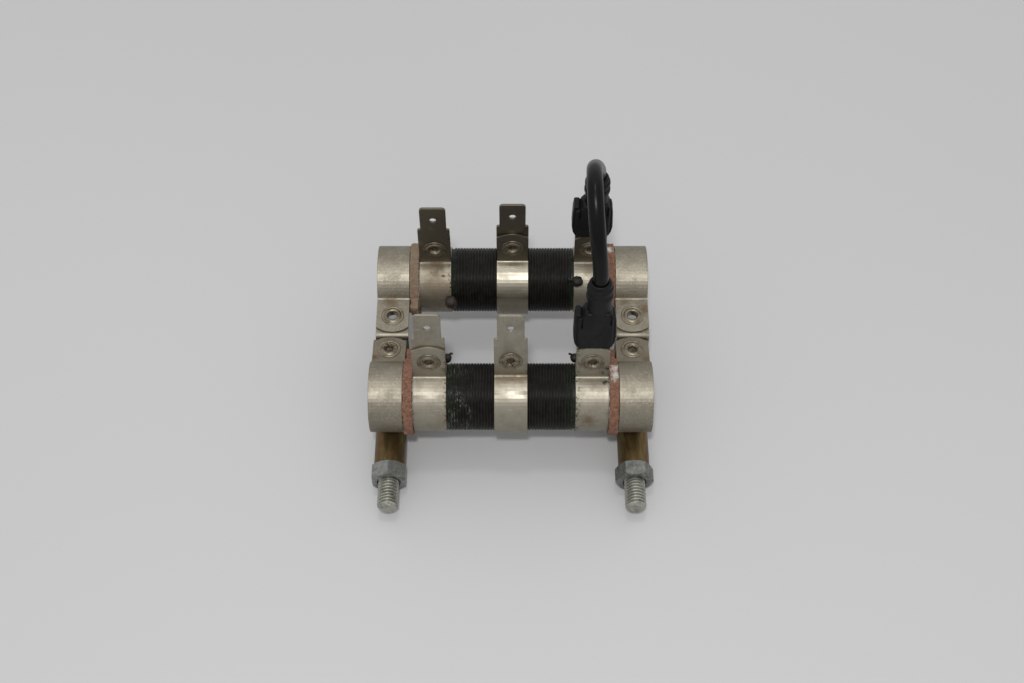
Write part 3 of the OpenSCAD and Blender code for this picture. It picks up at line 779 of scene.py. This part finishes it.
# %% [markdown]
# ## The windings
# The wire is wound as a helix, so one small ring of wire is swept along a screw with
# the pitch of the turns. A thin tube below it is the cement between the turns.

# %% Windings
WIRE_R = 0.3 * MM
TURNS = 42
END_ALLOWANCE = 0.3 * MM
CEMENT_THICK = 0.2 * MM


def fuse(objects, name):
    """Joins several objects into the first one's mesh."""
    nothing_selected()
    for o in objects:
        o.select_set(True)
    bpy.context.view_layer.objects.active = objects[0]
    bpy.ops.object.join()
    objects[0].name = name
    return objects[0]


def make_winding(row):
    low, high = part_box("winding_" + row)
    outer = (high.z - low.z) / 2
    length = high.x - low.x + END_ALLOWANCE
    pitch = (length - 2 * WIRE_R) / TURNS
    coil = add("circle", "coil_" + row, vertices=10, radius=WIRE_R, rotation=(math.pi / 2, 0, 0),
               location=(-TURNS * pitch / 2, 0, outer - WIRE_R))
    modify(coil, "SCREW", axis="X", angle=math.tau, screw_offset=pitch, iterations=TURNS,
           steps=72, render_steps=72, use_smooth_shade=True)
    pick_all(coil)
    bpy.ops.mesh.fill_holes(sides=0)
    bpy.ops.mesh.normals_make_consistent(inside=False)
    done()
    bed_r = outer - WIRE_R * 0.95
    bed = tube_piece("bed", bed_r, bed_r - CEMENT_THICK, length, 96)
    coil = fuse([coil, bed], "coil_" + row)
    turn(coil, Matrix.Translation((low + high) / 2))
    smooth(coil, 50)
    print("turns on the", row, "tube:", TURNS, "pitch mm:", round(pitch / MM, 3))
    return hand_over(coil, WINDING_FINISH[row], "winding", "winding_" + row)


for row in WINDING_FINISH:
    make_winding(row)

# %% [markdown]
# ## Insulating strips
# Between clamp and ceramic lies a strip of fibre that is wider than the clamp. Beside
# the clamp it bulges out, and a tail of it lies beside the ear. Sculpting it by hand
# would be slow, so a tube and a bar are remeshed into one lumpy body, and noise pushes
# its surface in and out.

# %% How the ears stand
ROW = {
    "front": {"lean": 6, "ear_slope": 8, "ear_rise": 3.5 * MM, "half_turn": 0},
    "back": {"lean": -1, "ear_slope": 0, "ear_rise": 2.1 * MM, "half_turn": math.pi},
}
print("rows:", list(ROW))

# %% [markdown]
# The remeshed body swells into the ceramic, so the room of the core is cut free again.
# Under the clamp only a thin, even band is needed.

# %% Insulation
FIBRE_LUMPS = bpy.data.textures.new("fibre_lumps", "CLOUDS")
FIBRE_LUMPS.noise_scale = 0.9 * MM
FIBRE_LUMPS.noise_depth = 4
BULGE = 2.1 * MM
FRAY = 0.3 * MM
SEAT_R = 7.56 * MM
BAND_THICK = 0.28 * MM
TAIL_REACH, TAIL_HEIGHT = 2.2 * MM, 2.1 * MM
VOXEL, LUMP_HEIGHT = 0.14 * MM, 0.6 * MM


def remove(obj):
    take(obj)
    bpy.ops.object.delete()


def cut_with(obj, tool, operation="DIFFERENCE"):
    """Cuts, joins or keeps what is common with another closed body, which is used up."""
    modify(obj, "BOOLEAN", object=tool, operation=operation, solver="EXACT")
    remove(tool)
    return obj


def bulge_with_tail(row, side, bulge_r, place):
    """The swollen part beside the clamp, whose middle is at the place."""
    ring = tube_piece("ring", bulge_r - 0.05 * MM, SEAT_R, BULGE + FRAY - 0.2 * MM)
    bar_to = bulge_r + TAIL_REACH
    bar = add("cube", "bar", size=1, location=(0, (SEAT_R + bar_to) / 2, ROW[row]["ear_rise"]),
              scale=(BULGE - 0.3 * MM, bar_to - SEAT_R, TAIL_HEIGHT))
    body = fuse([ring, bar], "fibre_%s_%s" % (row, side))
    turn(body, Matrix.Translation(place) @ Matrix.Rotation(ROW[row]["half_turn"], 4, "Z")
         @ Matrix.Rotation(math.radians(-ROW[row]["ear_slope"]), 4, "X"))
    modify(body, "REMESH", mode="VOXEL", voxel_size=VOXEL)
    return modify(body, "DISPLACE", texture=FIBRE_LUMPS, strength=LUMP_HEIGHT, mid_level=0.52,
                  texture_coords="LOCAL")


def make_insulation(row, side):
    node_name = "insulation_%s_%s" % (row, side)
    low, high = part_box(node_name)
    axis = middle("ceramic_core_" + row)
    out = 1 if side == "right" else -1
    inner_x = low.x if side == "right" else high.x
    place = Vector((inner_x + out * (BULGE - FRAY) / 2, axis.y, axis.z))
    body = bulge_with_tail(row, side, high.z - axis.z, place)
    core = tube_piece("core", SEAT_R, 5 * MM, 6 * MM)
    turn(core, Matrix.Translation((inner_x + out * BULGE / 2, axis.y, axis.z)))
    cut_with(body, core)
    band_len = high.x - low.x - BULGE
    band = tube_piece("band", SEAT_R + BAND_THICK, SEAT_R, band_len + 0.6 * MM, 96)
    turn(band, Matrix.Translation((inner_x + out * (BULGE + band_len / 2 - 0.3 * MM), axis.y, axis.z)))
    body = fuse([body, band], "fibre_%s_%s" % (row, side))
    smooth(body, 60)
    mat = FIBRE_TORN if side == "right" else (FIBRE_DRIED if row == "back" else FIBRE)
    return hand_over(body, mat, "insulation", node_name)


for row in ROW:
    for side in ("left", "right"):
        made = make_insulation(row, side)
        print(made.name, "faces:", len(made.data.polygons))

# %% [markdown]
# ## Turning an outline round an axis
# Eyelets, bolts, nuts and spacers are all turned shapes. Half of the outline is drawn
# point by point, by extruding one vertex, and a screw modifier turns it. With an offset
# for each turn the same step winds a thread.

# %% Drawing and turning
def tidy_faces(obj):
    """Merges doubles and points the faces outwards."""
    pick_all(obj)
    bpy.ops.mesh.remove_doubles(threshold=1e-7)
    bpy.ops.mesh.normals_make_consistent(inside=False)
    return done()


def trace(name, points):
    """A chain of edges through the points, in mm."""
    obj = add("plane", name, size=MM)
    pick_all(obj)
    bpy.ops.mesh.merge(type="CENTER")
    spot = Vector((0, 0, 0))
    for i, point in enumerate(points):
        step = Vector(point) * MM - spot
        if i == 0:
            bpy.ops.transform.translate(value=step)
        else:
            bpy.ops.mesh.extrude_region_move(TRANSFORM_OT_translate={"value": step})
        spot = Vector(point) * MM
    return done()


def revolve(name, outline, sides=64, closed=True, offset=0.0, turns=1):
    """Turns an outline of (radius, height) pairs, in mm, round Z, climbing by offset each turn."""
    points = [(r, 0, z) for r, z in outline]
    obj = trace(name, points + points[:1] if closed else points)
    pick_all(obj)
    bpy.ops.mesh.remove_doubles(threshold=1e-7)
    done()
    modify(obj, "SCREW", axis="Z", angle=math.tau, screw_offset=offset, iterations=turns,
           steps=sides, render_steps=sides, use_merge_vertices=offset == 0, merge_threshold=1e-7)
    if offset:
        pick_all(obj)
        bpy.ops.mesh.fill_holes(sides=0)
        done()
    return tidy_faces(obj)


print("drawing and turning ready")

# %% [markdown]
# ## Eyelets
# An eyelet is a short tube whose ends are rolled over on both ears. Its outline runs
# from the bore over the rolled lip and the flange. The clamps on the back tube have open
# eyelets. The others were struck with a blunt punch, which left a dimple with a small
# ragged hole, so their lips are crumpled by a random push on the vertices.

# %% Eyelet shapes
LIP_R, JOINT_Z = 1.75 * MM, 0.2 * MM
HOLE_SHADE_R, HOLE_SHADE_Z = 0.98 * MM, 0.5 * MM


def eyelet_outline(dimple):
    """Half outline above the joint plane, in mm, as (radius, height)."""
    if dimple:
        bore = [(0, 0.08), (0.55, 0.05), (0.9, 0.14), (0.97, 0.42), (1.03, 0.6), (1.18, 0.74), (1.33, 0.89)]
    else:
        bore = [(1.2, 0), (1.2, 0.72), (1.26, 0.86)]
    lip = [(1.42, 0.99), (1.62, 1.04), (1.82, 1.01), (2.0, 0.92), (2.12, 0.8)]
    flange = [(2.22, 0.75), (2.34, 0.78), (2.46, 0.84), (2.64, 0.83), (2.75, 0.78), (2.8, 0.7), (2.78, 0.675)]
    barrel = [(1.85, 0.675), (1.8, 0.6), (1.8, 0)]
    return bore + lip + flange + barrel


def make_eyelet(name, dimple, crumple=0.0):
    upper = eyelet_outline(dimple)
    lower = [(r, -z) for r, z in reversed(upper) if z > 0]
    eyelet = revolve(name, upper + lower, 64, not dimple)
    if crumple:
        pick(eyelet, lambda co: math.hypot(co.x, co.y) < LIP_R and abs(co.z) > JOINT_Z)
        bpy.ops.mesh.subdivide(number_cuts=1)
        bpy.ops.transform.vertex_random(offset=crumple * MM, uniform=0.6, seed=3)
        done()
    # The small hole is not cut. Faces at the bottom of the dimple take the second slot, painted shade that stands for
    # it.
    for face in eyelet.data.polygons if dimple else ():
        if math.hypot(face.center.x, face.center.y) < HOLE_SHADE_R and abs(face.center.z) < HOLE_SHADE_Z:
            face.material_index = 1
    return smooth(eyelet, 50)


open_eyelet = make_eyelet("eyelet_open", False)
struck_eyelet = make_eyelet("eyelet_struck", True, 0.045)
crumpled_eyelet = make_eyelet("eyelet_crumpled", True, 0.12)
print("eyelet shapes: 3")

# %% [markdown]
# Each copy gets its own mesh. It is turned from the Z axis to the direction square to
# its ears, spun by its own angle so that no two look alike, and set down at its node.

# %% Place the eyelets
SPIN = 1.3


def twin(obj, name):
    """A copy with its own mesh."""
    copy = obj.copy()
    copy.data = obj.data.copy()
    copy.name = name
    bpy.context.scene.collection.objects.link(copy)
    return copy


def along_z(axis, spin):
    return Vector((0, 0, 1)).rotation_difference(Vector(axis)).to_matrix().to_4x4() @ Matrix.Rotation(spin, 4, "Z")


def eyelet_for(name):
    """The shape of eyelet at a node, and the direction that it points in."""
    row = "front" if "front" in name else "back"
    if name.startswith("clamp"):
        slope = math.radians(ROW[row]["ear_slope"])
        shape = open_eyelet if row == "back" else (crumpled_eyelet if "left" in name else struck_eyelet)
        return shape, (0, math.sin(slope), math.cos(slope))
    lean = math.radians(ROW[row]["lean"])
    shape = crumpled_eyelet if name.endswith("front_middle") else struck_eyelet
    return shape, (0, -math.cos(lean), math.sin(lean))


eyelet_nodes = sorted(name for name in nodes if "eyelet" in name)
for i, name in enumerate(eyelet_nodes):
    shape, axis = eyelet_for(name)
    piece = twin(shape, "rivet_" + name)
    turn(piece, Matrix.Translation(middle(name)) @ along_z(axis, SPIN * i))
    hand_over(piece, EYELET, "eyelet", name)
    # The second slot is the painted shade of the struck hole.
    piece.data.materials.append(HOLE_SHADE)
for shape in (open_eyelet, struck_eyelet, crumpled_eyelet):
    remove(shape)
print("eyelets placed:", len(eyelet_nodes))

# %% [markdown]
# ## Bolts, nuts and spacers
# Each is turned round its own axis with Z up, and then laid down to point to the front.
# The thread is one V-shaped groove that a screw sweep winds round the bolt, cut out of
# the shank with its chamfered tip. Hexagons get their rounded corners by keeping only
# what lies inside a turned disc with chamfered faces. All of their sizes are in mm.

# %% Bolt
THREAD_PITCH, GROOVE_TURNS = 0.8, 14
ACROSS_FLATS = 8
SHANK_R, SHANK_CHAMFER = 2.5, 0.7
HEAD_HEIGHT, NUT_HEIGHT = 3.5, 4


def hexagon(name, height):
    corner_r = ACROSS_FLATS / math.sqrt(3)
    prism = add("cylinder", name, vertices=6, radius=corner_r * MM, depth=height * MM,
                location=(0, 0, height * MM / 2))
    edge, slope, wide = ACROSS_FLATS / 2 * 0.97, 0.42, corner_r + 0.02
    disc = revolve("disc", [(0, 0), (edge, 0), (wide, slope), (wide, height - slope), (edge, height),
                            (0, height)], 96, False)
    return cut_with(prism, disc, "INTERSECT")


def make_bolt():
    low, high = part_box("bolt_left")
    length = (high.y - low.y) / MM
    shank = revolve("bolt", [(0, 1), (SHANK_R, 1), (SHANK_R, length - SHANK_CHAMFER),
                             (SHANK_R - SHANK_CHAMFER, length), (0, length)], 64, False)
    start = length - GROOVE_TURNS * THREAD_PITCH + 0.4
    groove = revolve("groove", [(2.08, start - 0.08), (2.08, start + 0.08), (2.62, start + 0.37),
                                (2.62, start - 0.37)], 40, offset=THREAD_PITCH * MM, turns=GROOVE_TURNS)
    cut_with(shank, groove)
    cut_with(shank, hexagon("head", HEAD_HEIGHT), "UNION")
    return smooth(shank, 32)


bolt = make_bolt()
print("bolt faces:", len(bolt.data.polygons))

# %% [markdown]
# The nut's bore widens at both faces. The spacer is a plain turned sleeve whose rims are
# broken.

# %% Nut and spacer
SPACER_R, SPACER_BORE_R, SPACER_RIM = 3.75, 2.7, 0.2


def make_nut():
    nut = hexagon("nut", NUT_HEIGHT)
    bore = revolve("bore", [(0, -0.1), (2.95, -0.1), (2.56, 0.35), (2.56, 3.65), (2.95, 4.1), (0, 4.1)], 64, False)
    cut_with(nut, bore)
    return smooth(nut, 32)


def make_spacer():
    low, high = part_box("spacer_left")
    length = (high.y - low.y) / MM
    half = [(SPACER_BORE_R, SPACER_RIM), (SPACER_BORE_R + SPACER_RIM, 0), (SPACER_R - SPACER_RIM, 0),
            (SPACER_R, SPACER_RIM)]
    return smooth(revolve("spacer", half + [(r, length - z) for r, z in reversed(half)], 96), 32)


nut, spacer = make_nut(), make_spacer()
print("nut faces:", len(nut.data.polygons), "spacer faces:", len(spacer.data.polygons))

# %% [markdown]
# All three are laid down along their nodes. The right nut came to rest with a flat side
# up, and the left one with a corner up.

# %% Place bolts, nuts and spacers
def lay_down(piece, node_name, spin=0.0):
    """Turns a piece that stands on the origin, so that it points from its node's rear to the front."""
    low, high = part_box(node_name)
    foot = Vector(((low.x + high.x) / 2, high.y, (low.z + high.z) / 2))
    return turn(piece, Matrix.Translation(foot) @ Matrix.Rotation(math.pi / 2, 4, "X")
                @ Matrix.Rotation(spin, 4, "Z"))


# The right nut takes the darker zinc, painted shade for its flat top that faces the lamps.
for side, nut_finish, nut_spin in (("left", ZINC, 0.0), ("right", ZINC_SHADED, math.radians(30))):
    stud = lay_down(twin(bolt, "stud_" + side), "bolt_" + side)
    hand_over(stud, ZINC_WORN, "zinc", "bolt_" + side)
    hex_nut = lay_down(twin(nut, "hex_nut_" + side), "nut_" + side, nut_spin)
    hand_over(hex_nut, nut_finish, "zinc", "nut_" + side)
    tube = lay_down(twin(spacer, "tube_" + side), "spacer_" + side)
    hand_over(tube, SPACER, "spacer", "spacer_" + side)
    print(stud.name, hex_nut.name, tube.name)
for shape in (bolt, nut, spacer):
    remove(shape)

# %% [markdown]
# ## Weld beads
# The wire ends in a small molten bead on the band. A ball is pushed in and out by noise,
# and a stub of wire runs from it. A stub, like a lead, is a chain of points that becomes
# a curve with a round section.

# %% Beads
def sweep(name, points, radius, roundness):
    """A round bar along a chain of points."""
    obj = trace(name, [p / MM for p in points])
    bpy.ops.object.convert(target="CURVE")
    obj.data.bevel_depth = radius
    obj.data.bevel_resolution = roundness
    obj.data.use_fill_caps = True
    bpy.ops.object.convert(target="MESH")
    return tidy_faces(obj)


BEAD_LUMPS = bpy.data.textures.new("bead_lumps", "CLOUDS")
BEAD_LUMPS.noise_scale = 1.3 * MM
BEAD_R, STUB_R, BEAD_LUMP_HEIGHT = 1.4 * MM, 0.27 * MM, 0.5 * MM
BEADS = {
    "back_left": (1.16, BEAD_BROWN, [(0.5, 0.6, -0.4), (1.2, 1.0, -1.0), (1.5, 1.6, -1.4)]),
    "back_right": (1.0, BEAD, [(-0.8, 0.0, 0.6), (-1.7, -0.2, 0.9), (-2.2, 0.1, 0.5)]),
    "front_left": (0.8, BEAD, [(0.2, 0.3, 0.6), (0.9, 0.5, 1.2), (1.4, 0.4, 1.1)]),
    "front_right": (0.8, BEAD, [(-0.3, 0.3, 0.6), (-0.8, 0.2, 1.2), (-1.3, 0.6, 0.9)]),
}
for place, (size, mat, tail) in BEADS.items():
    centre = middle("weld_bead_" + place)
    bead = add("ico_sphere", "bead_" + place, subdivisions=4, radius=BEAD_R * size, location=centre)
    modify(bead, "DISPLACE", texture=BEAD_LUMPS, strength=BEAD_LUMP_HEIGHT, mid_level=0.55, texture_coords="LOCAL")
    stub = sweep("stub", [centre] + [centre + Vector(p) * MM for p in tail], STUB_R, 2)
    bead = smooth(fuse([bead, stub], "bead_" + place), 60)
    hand_over(bead, mat, "weld_bead", "weld_bead_" + place)
print("beads:", len(BEADS))

# %% [markdown]
# ## Receptacle sleeves
# A sleeve is one plastic moulding: a body with a wing on each side that ends in a free
# prong, and a stepped neck round the lead. Its outlines are drawn flat, filled and
# thickened, joined, and rounded together. The pocket for the contact and the hole for
# the lead are cut last. Heights are in mm above the tube's axis.

# %% Plates and the neck
SLEEVE_FOOT, SLEEVE_TOP, NECK_TOP = 19.45, 30.85, 39.85
NECK_X = 0.7


def slab(name, outline, thickness):
    """A plate in the XZ plane with the outline, in mm, thickened both ways along Y."""
    obj = trace(name, [(x, -thickness / 2, z) for x, z in outline + outline[:1]])
    pick_all(obj)
    bpy.ops.mesh.remove_doubles(threshold=1e-7)
    bpy.ops.mesh.edge_face_add()
    bpy.ops.mesh.extrude_region_move(TRANSFORM_OT_translate={"value": (0, thickness * MM, 0)})
    done()
    return tidy_faces(obj)


def stepped_neck(name, sections):
    """A rounded bar up Z, through (height, half width, half depth) sections in mm."""
    (z0, w0, d0), rest = sections[0], sections[1:]
    bar = add("circle", name, vertices=48, radius=1 * MM, location=(NECK_X * MM, 0, z0 * MM), fill_type="NGON")
    pick_all(bar)
    centre = (NECK_X * MM, 0, 0)
    bpy.ops.transform.resize(value=(w0, d0, 1), center_override=centre)
    for z, w, d in rest:
        bpy.ops.mesh.extrude_region_move(TRANSFORM_OT_translate={"value": (0, 0, (z - z0) * MM)})
        bpy.ops.transform.resize(value=(w / w0, d / d0, 1), center_override=centre)
        z0, w0, d0 = z, w, d
    done()
    return tidy_faces(bar)


def make_neck(foot, rim):
    neck = stepped_neck("neck", [
        (foot + 5, 2.7, 2.4), (rim - 5.2, 2.8, 2.5), (rim - 4.9, 3.05, 2.75), (rim - 3.9, 3.05, 2.75),
        (rim - 3.6, 2.75, 2.5), (rim - 2.7, 2.7, 2.45), (rim - 2.45, 3.0, 2.75), (rim - 1.5, 2.95, 2.7),
        (rim - 1.2, 2.65, 2.4), (rim - 0.35, 2.6, 2.35), (rim, 2.3, 2.15)])
    return modify(neck, "BEVEL", width=0.14 * MM, segments=3, limit_method="ANGLE", angle_limit=math.radians(25))


print("neck offset mm:", NECK_X)

# %% [markdown]
# Two pairs of slits free the prongs from the body before everything is joined.

# %% One sleeve
SLIT_WIDTH = 0.42
POCKET_WIDTH, POCKET_DEPTH, POCKET_HEIGHT = 7.9, 2.4, 11
LEAD_HOLE_R = 1.9


def cut_slits(body, foot, top):
    for x, z0, depth in ((-3.05, foot + 7.2, 0.8), (3.45, foot + 8.4, 0.5)):
        for face in (-1, 1):
            slit = add("cube", "slit", size=1, location=(x * MM, face * 2.3 * MM, (z0 + top + 1) / 2 * MM),
                       scale=(SLIT_WIDTH * MM, 2 * depth * MM, (top + 1 - z0) * MM))
            cut_with(body, slit)


def make_sleeve(foot, top, neck_top):
    wings = slab("wings", [
        (-4.0, foot), (4.0, foot), (4.6, foot + 1.4), (4.9, foot + 3.4), (4.7, foot + 9.0), (4.4, top - 0.9),
        (3.4, top - 0.9), (-3.1, top - 0.9), (-3.3, top - 0.4), (-4.5, top - 0.4), (-4.75, foot + 9.0),
        (-4.9, foot + 3.4), (-4.6, foot + 1.4)], 3.2)
    body = slab("body", [
        (-3.8, foot + 0.02), (3.8, foot + 0.02), (4.15, foot + 3), (4.15, foot + 10.3), (3.3, top + 0.4),
        (-2.1, top + 0.4), (-2.9, foot + 10.4), (-4.15, foot + 10.2), (-4.15, foot + 3)], 4.6)
    for piece, width in ((wings, 0.5), (body, 0.8)):
        modify(piece, "BEVEL", width=width * MM, segments=4, limit_method="ANGLE", angle_limit=math.radians(25))
    neck = make_neck(foot, neck_top)
    cut_slits(body, foot, top)
    cut_with(body, wings, "UNION")
    cut_with(body, neck, "UNION")
    pocket = add("cube", "pocket", size=1, location=(0, 0, (foot + 4.5) * MM),
                 scale=(POCKET_WIDTH * MM, POCKET_DEPTH * MM, POCKET_HEIGHT * MM))
    cut_with(body, pocket)
    hole = add("cylinder", "hole", vertices=48, radius=LEAD_HOLE_R * MM, depth=(neck_top - foot - 3) * MM,
               location=(NECK_X * MM, 0, (neck_top + foot + 5) / 2 * MM))
    cut_with(body, hole)
    return smooth(body, 40)


sleeve = make_sleeve(SLEEVE_FOOT, SLEEVE_TOP, NECK_TOP)
print("sleeve faces:", len(sleeve.data.polygons))

# %% [markdown]
# Both sleeves stand on a right-hand tab, leaned back with it. The tab lies a little
# behind the joint plane of its ears.

# %% Place the sleeves
TERMINAL_X = 19.1 * MM
TAB_PLANE = 0.325 * MM
for row in ROW:
    place = middle("ceramic_core_" + row) + Vector((TERMINAL_X, 0, 0))
    stand = (Matrix.Translation(place) @ Matrix.Rotation(math.radians(-ROW[row]["lean"]), 4, "X")
             @ Matrix.Translation((0, TAB_PLANE, 0)))
    piece = turn(twin(sleeve, "boot_" + row), stand)
    hand_over(piece, SLEEVE, "sleeve", "receptacle_sleeve_" + row)
    print(piece.name, [round(v / MM, 1) for v in place])
remove(sleeve)

# %% [markdown]
# ## Bridging lead
# The lead leaves both necks straight up and swings over in one loop. A smooth curve
# runs through its route points, and a round section follows it.

# %% Lead
LEAD_R = 1.78 * MM
ROUTE = [Vector(p) * MM for p in (
    (19.391, -6.139, 53.518), (19.391, -5.81, 56.65), (19.197, -5.294, 61.004), (18.708, -4.505, 65.51),
    (18.181, -2.776, 70.222), (17.773, 0.41, 74.244), (17.581, 4.809, 76.275), (17.694, 9.603, 75.058),
    (17.999, 13.789, 71.788), (18.599, 17.612, 67.814), (19.191, 20.798, 63.837), (19.676, 23.407, 60.055),
    (19.791, 24.53, 56.863), (19.791, 24.585, 53.713))]


def through(points, steps):
    """Points of a smooth curve that passes through all the given ones."""
    ends = [2 * points[0] - points[1]] + points + [2 * points[-1] - points[-2]]
    curve = []
    for a, b, c, d in zip(ends, ends[1:], ends[2:], ends[3:]):
        for i in range(steps):
            t = i / steps
            curve.append(0.5 * (2 * b + (c - a) * t + (2 * a - 5 * b + 4 * c - d) * t * t
                                + (3 * b - 3 * c + d - a) * t ** 3))
    return curve + [points[-1]]


lead = smooth(sweep("lead", through(ROUTE, 6), LEAD_R, 8), 60)
hand_over(lead, LEAD, "lead", "bridge_lead")
print("lead length mm:", round(sum((b - a).length for a, b in zip(ROUTE, ROUTE[1:])) / MM, 1))

# %% [markdown]
# ## Stage
# One large pale floor sets how pale the background is. Its colour drifts a little, as
# paper does.

# %% Floor
FLOOR_TINT = (0.49, 0.49, 0.492)


def make_floor():
    plane = add("plane", "floor", size=4)
    mat, tree, shader, co = material("studio_floor")
    shader.inputs["Roughness"].default_value = 0.85
    drift = between(tree, noise(tree, co, 3, 2.0), 0.3, 0.7)
    wire(tree, mix(tree, drift, FLOOR_TINT, tuple(v * 1.03 for v in FLOOR_TINT)), shader.inputs["Base Color"])
    return finish_with(plane, mat)


floor = make_floor()
print("stage:", floor.name)

# %% [markdown]
# A small lamp above the viewer gives the metal its highlights. A wider one overhead and
# a very large one further back light the tops, and the world fills the shadows.

# %% Lamps
LAMP_TARGET = Vector((0, 5.8, 12)) * MM
WORLD_STRENGTH = 0.69


def soft_light(name, size, power, where):
    light = bpy.data.lights.new(name, "AREA")
    light.shape = "RECTANGLE"
    light.size, light.size_y = size
    light.energy = power
    lamp = bpy.data.objects.new(name, light)
    bpy.context.scene.collection.objects.link(lamp)
    lamp.location = where
    lamp.rotation_euler = (LAMP_TARGET - Vector(where)).to_track_quat("-Z", "Y").to_euler()


soft_light("key", (0.035, 0.035), 1.27, (-0.02, -0.262, 0.545))
soft_light("top", (0.1, 0.1), 0.85, (-0.02, 0.12, 0.95))
soft_light("ceiling", (1.7, 0.9), 1.3, (0.0, 0.75, 1.05))
world = bpy.data.worlds.new("studio")
bpy.context.scene.world = world
world.use_nodes = True
sky = world.node_tree.nodes["Background"]
sky.inputs["Color"].default_value = (1, 1, 1, 1)
sky.inputs["Strength"].default_value = WORLD_STRENGTH
print("lamps: 3")

# %% [markdown]
# ## Camera
# The camera looks down at 55 degrees from the front. It aims at the height of the
# tubes' axes, between the two tubes, from far enough for the whole part to fit.

# %% Camera
TARGET = Vector((-0.13, 5.8, 17.02)) * MM
DOWN = math.radians(55)
DISTANCE = 372 * MM
SENSOR_WIDTH, LENS = 36, 53.26171875
camera = bpy.data.objects.new("camera", bpy.data.cameras.new("camera"))
bpy.context.scene.collection.objects.link(camera)
camera.location = TARGET + DISTANCE * Vector((0, -math.cos(DOWN), math.sin(DOWN)))
camera.rotation_euler = (TARGET - camera.location).to_track_quat("-Z", "Y").to_euler()
camera.data.sensor_width = SENSOR_WIDTH
camera.data.lens = LENS
camera.data.clip_start = 0.01
bpy.context.scene.camera = camera
bpy.context.scene.view_settings.view_transform = "Standard"
print("camera at", [round(v, 3) for v in camera.location])
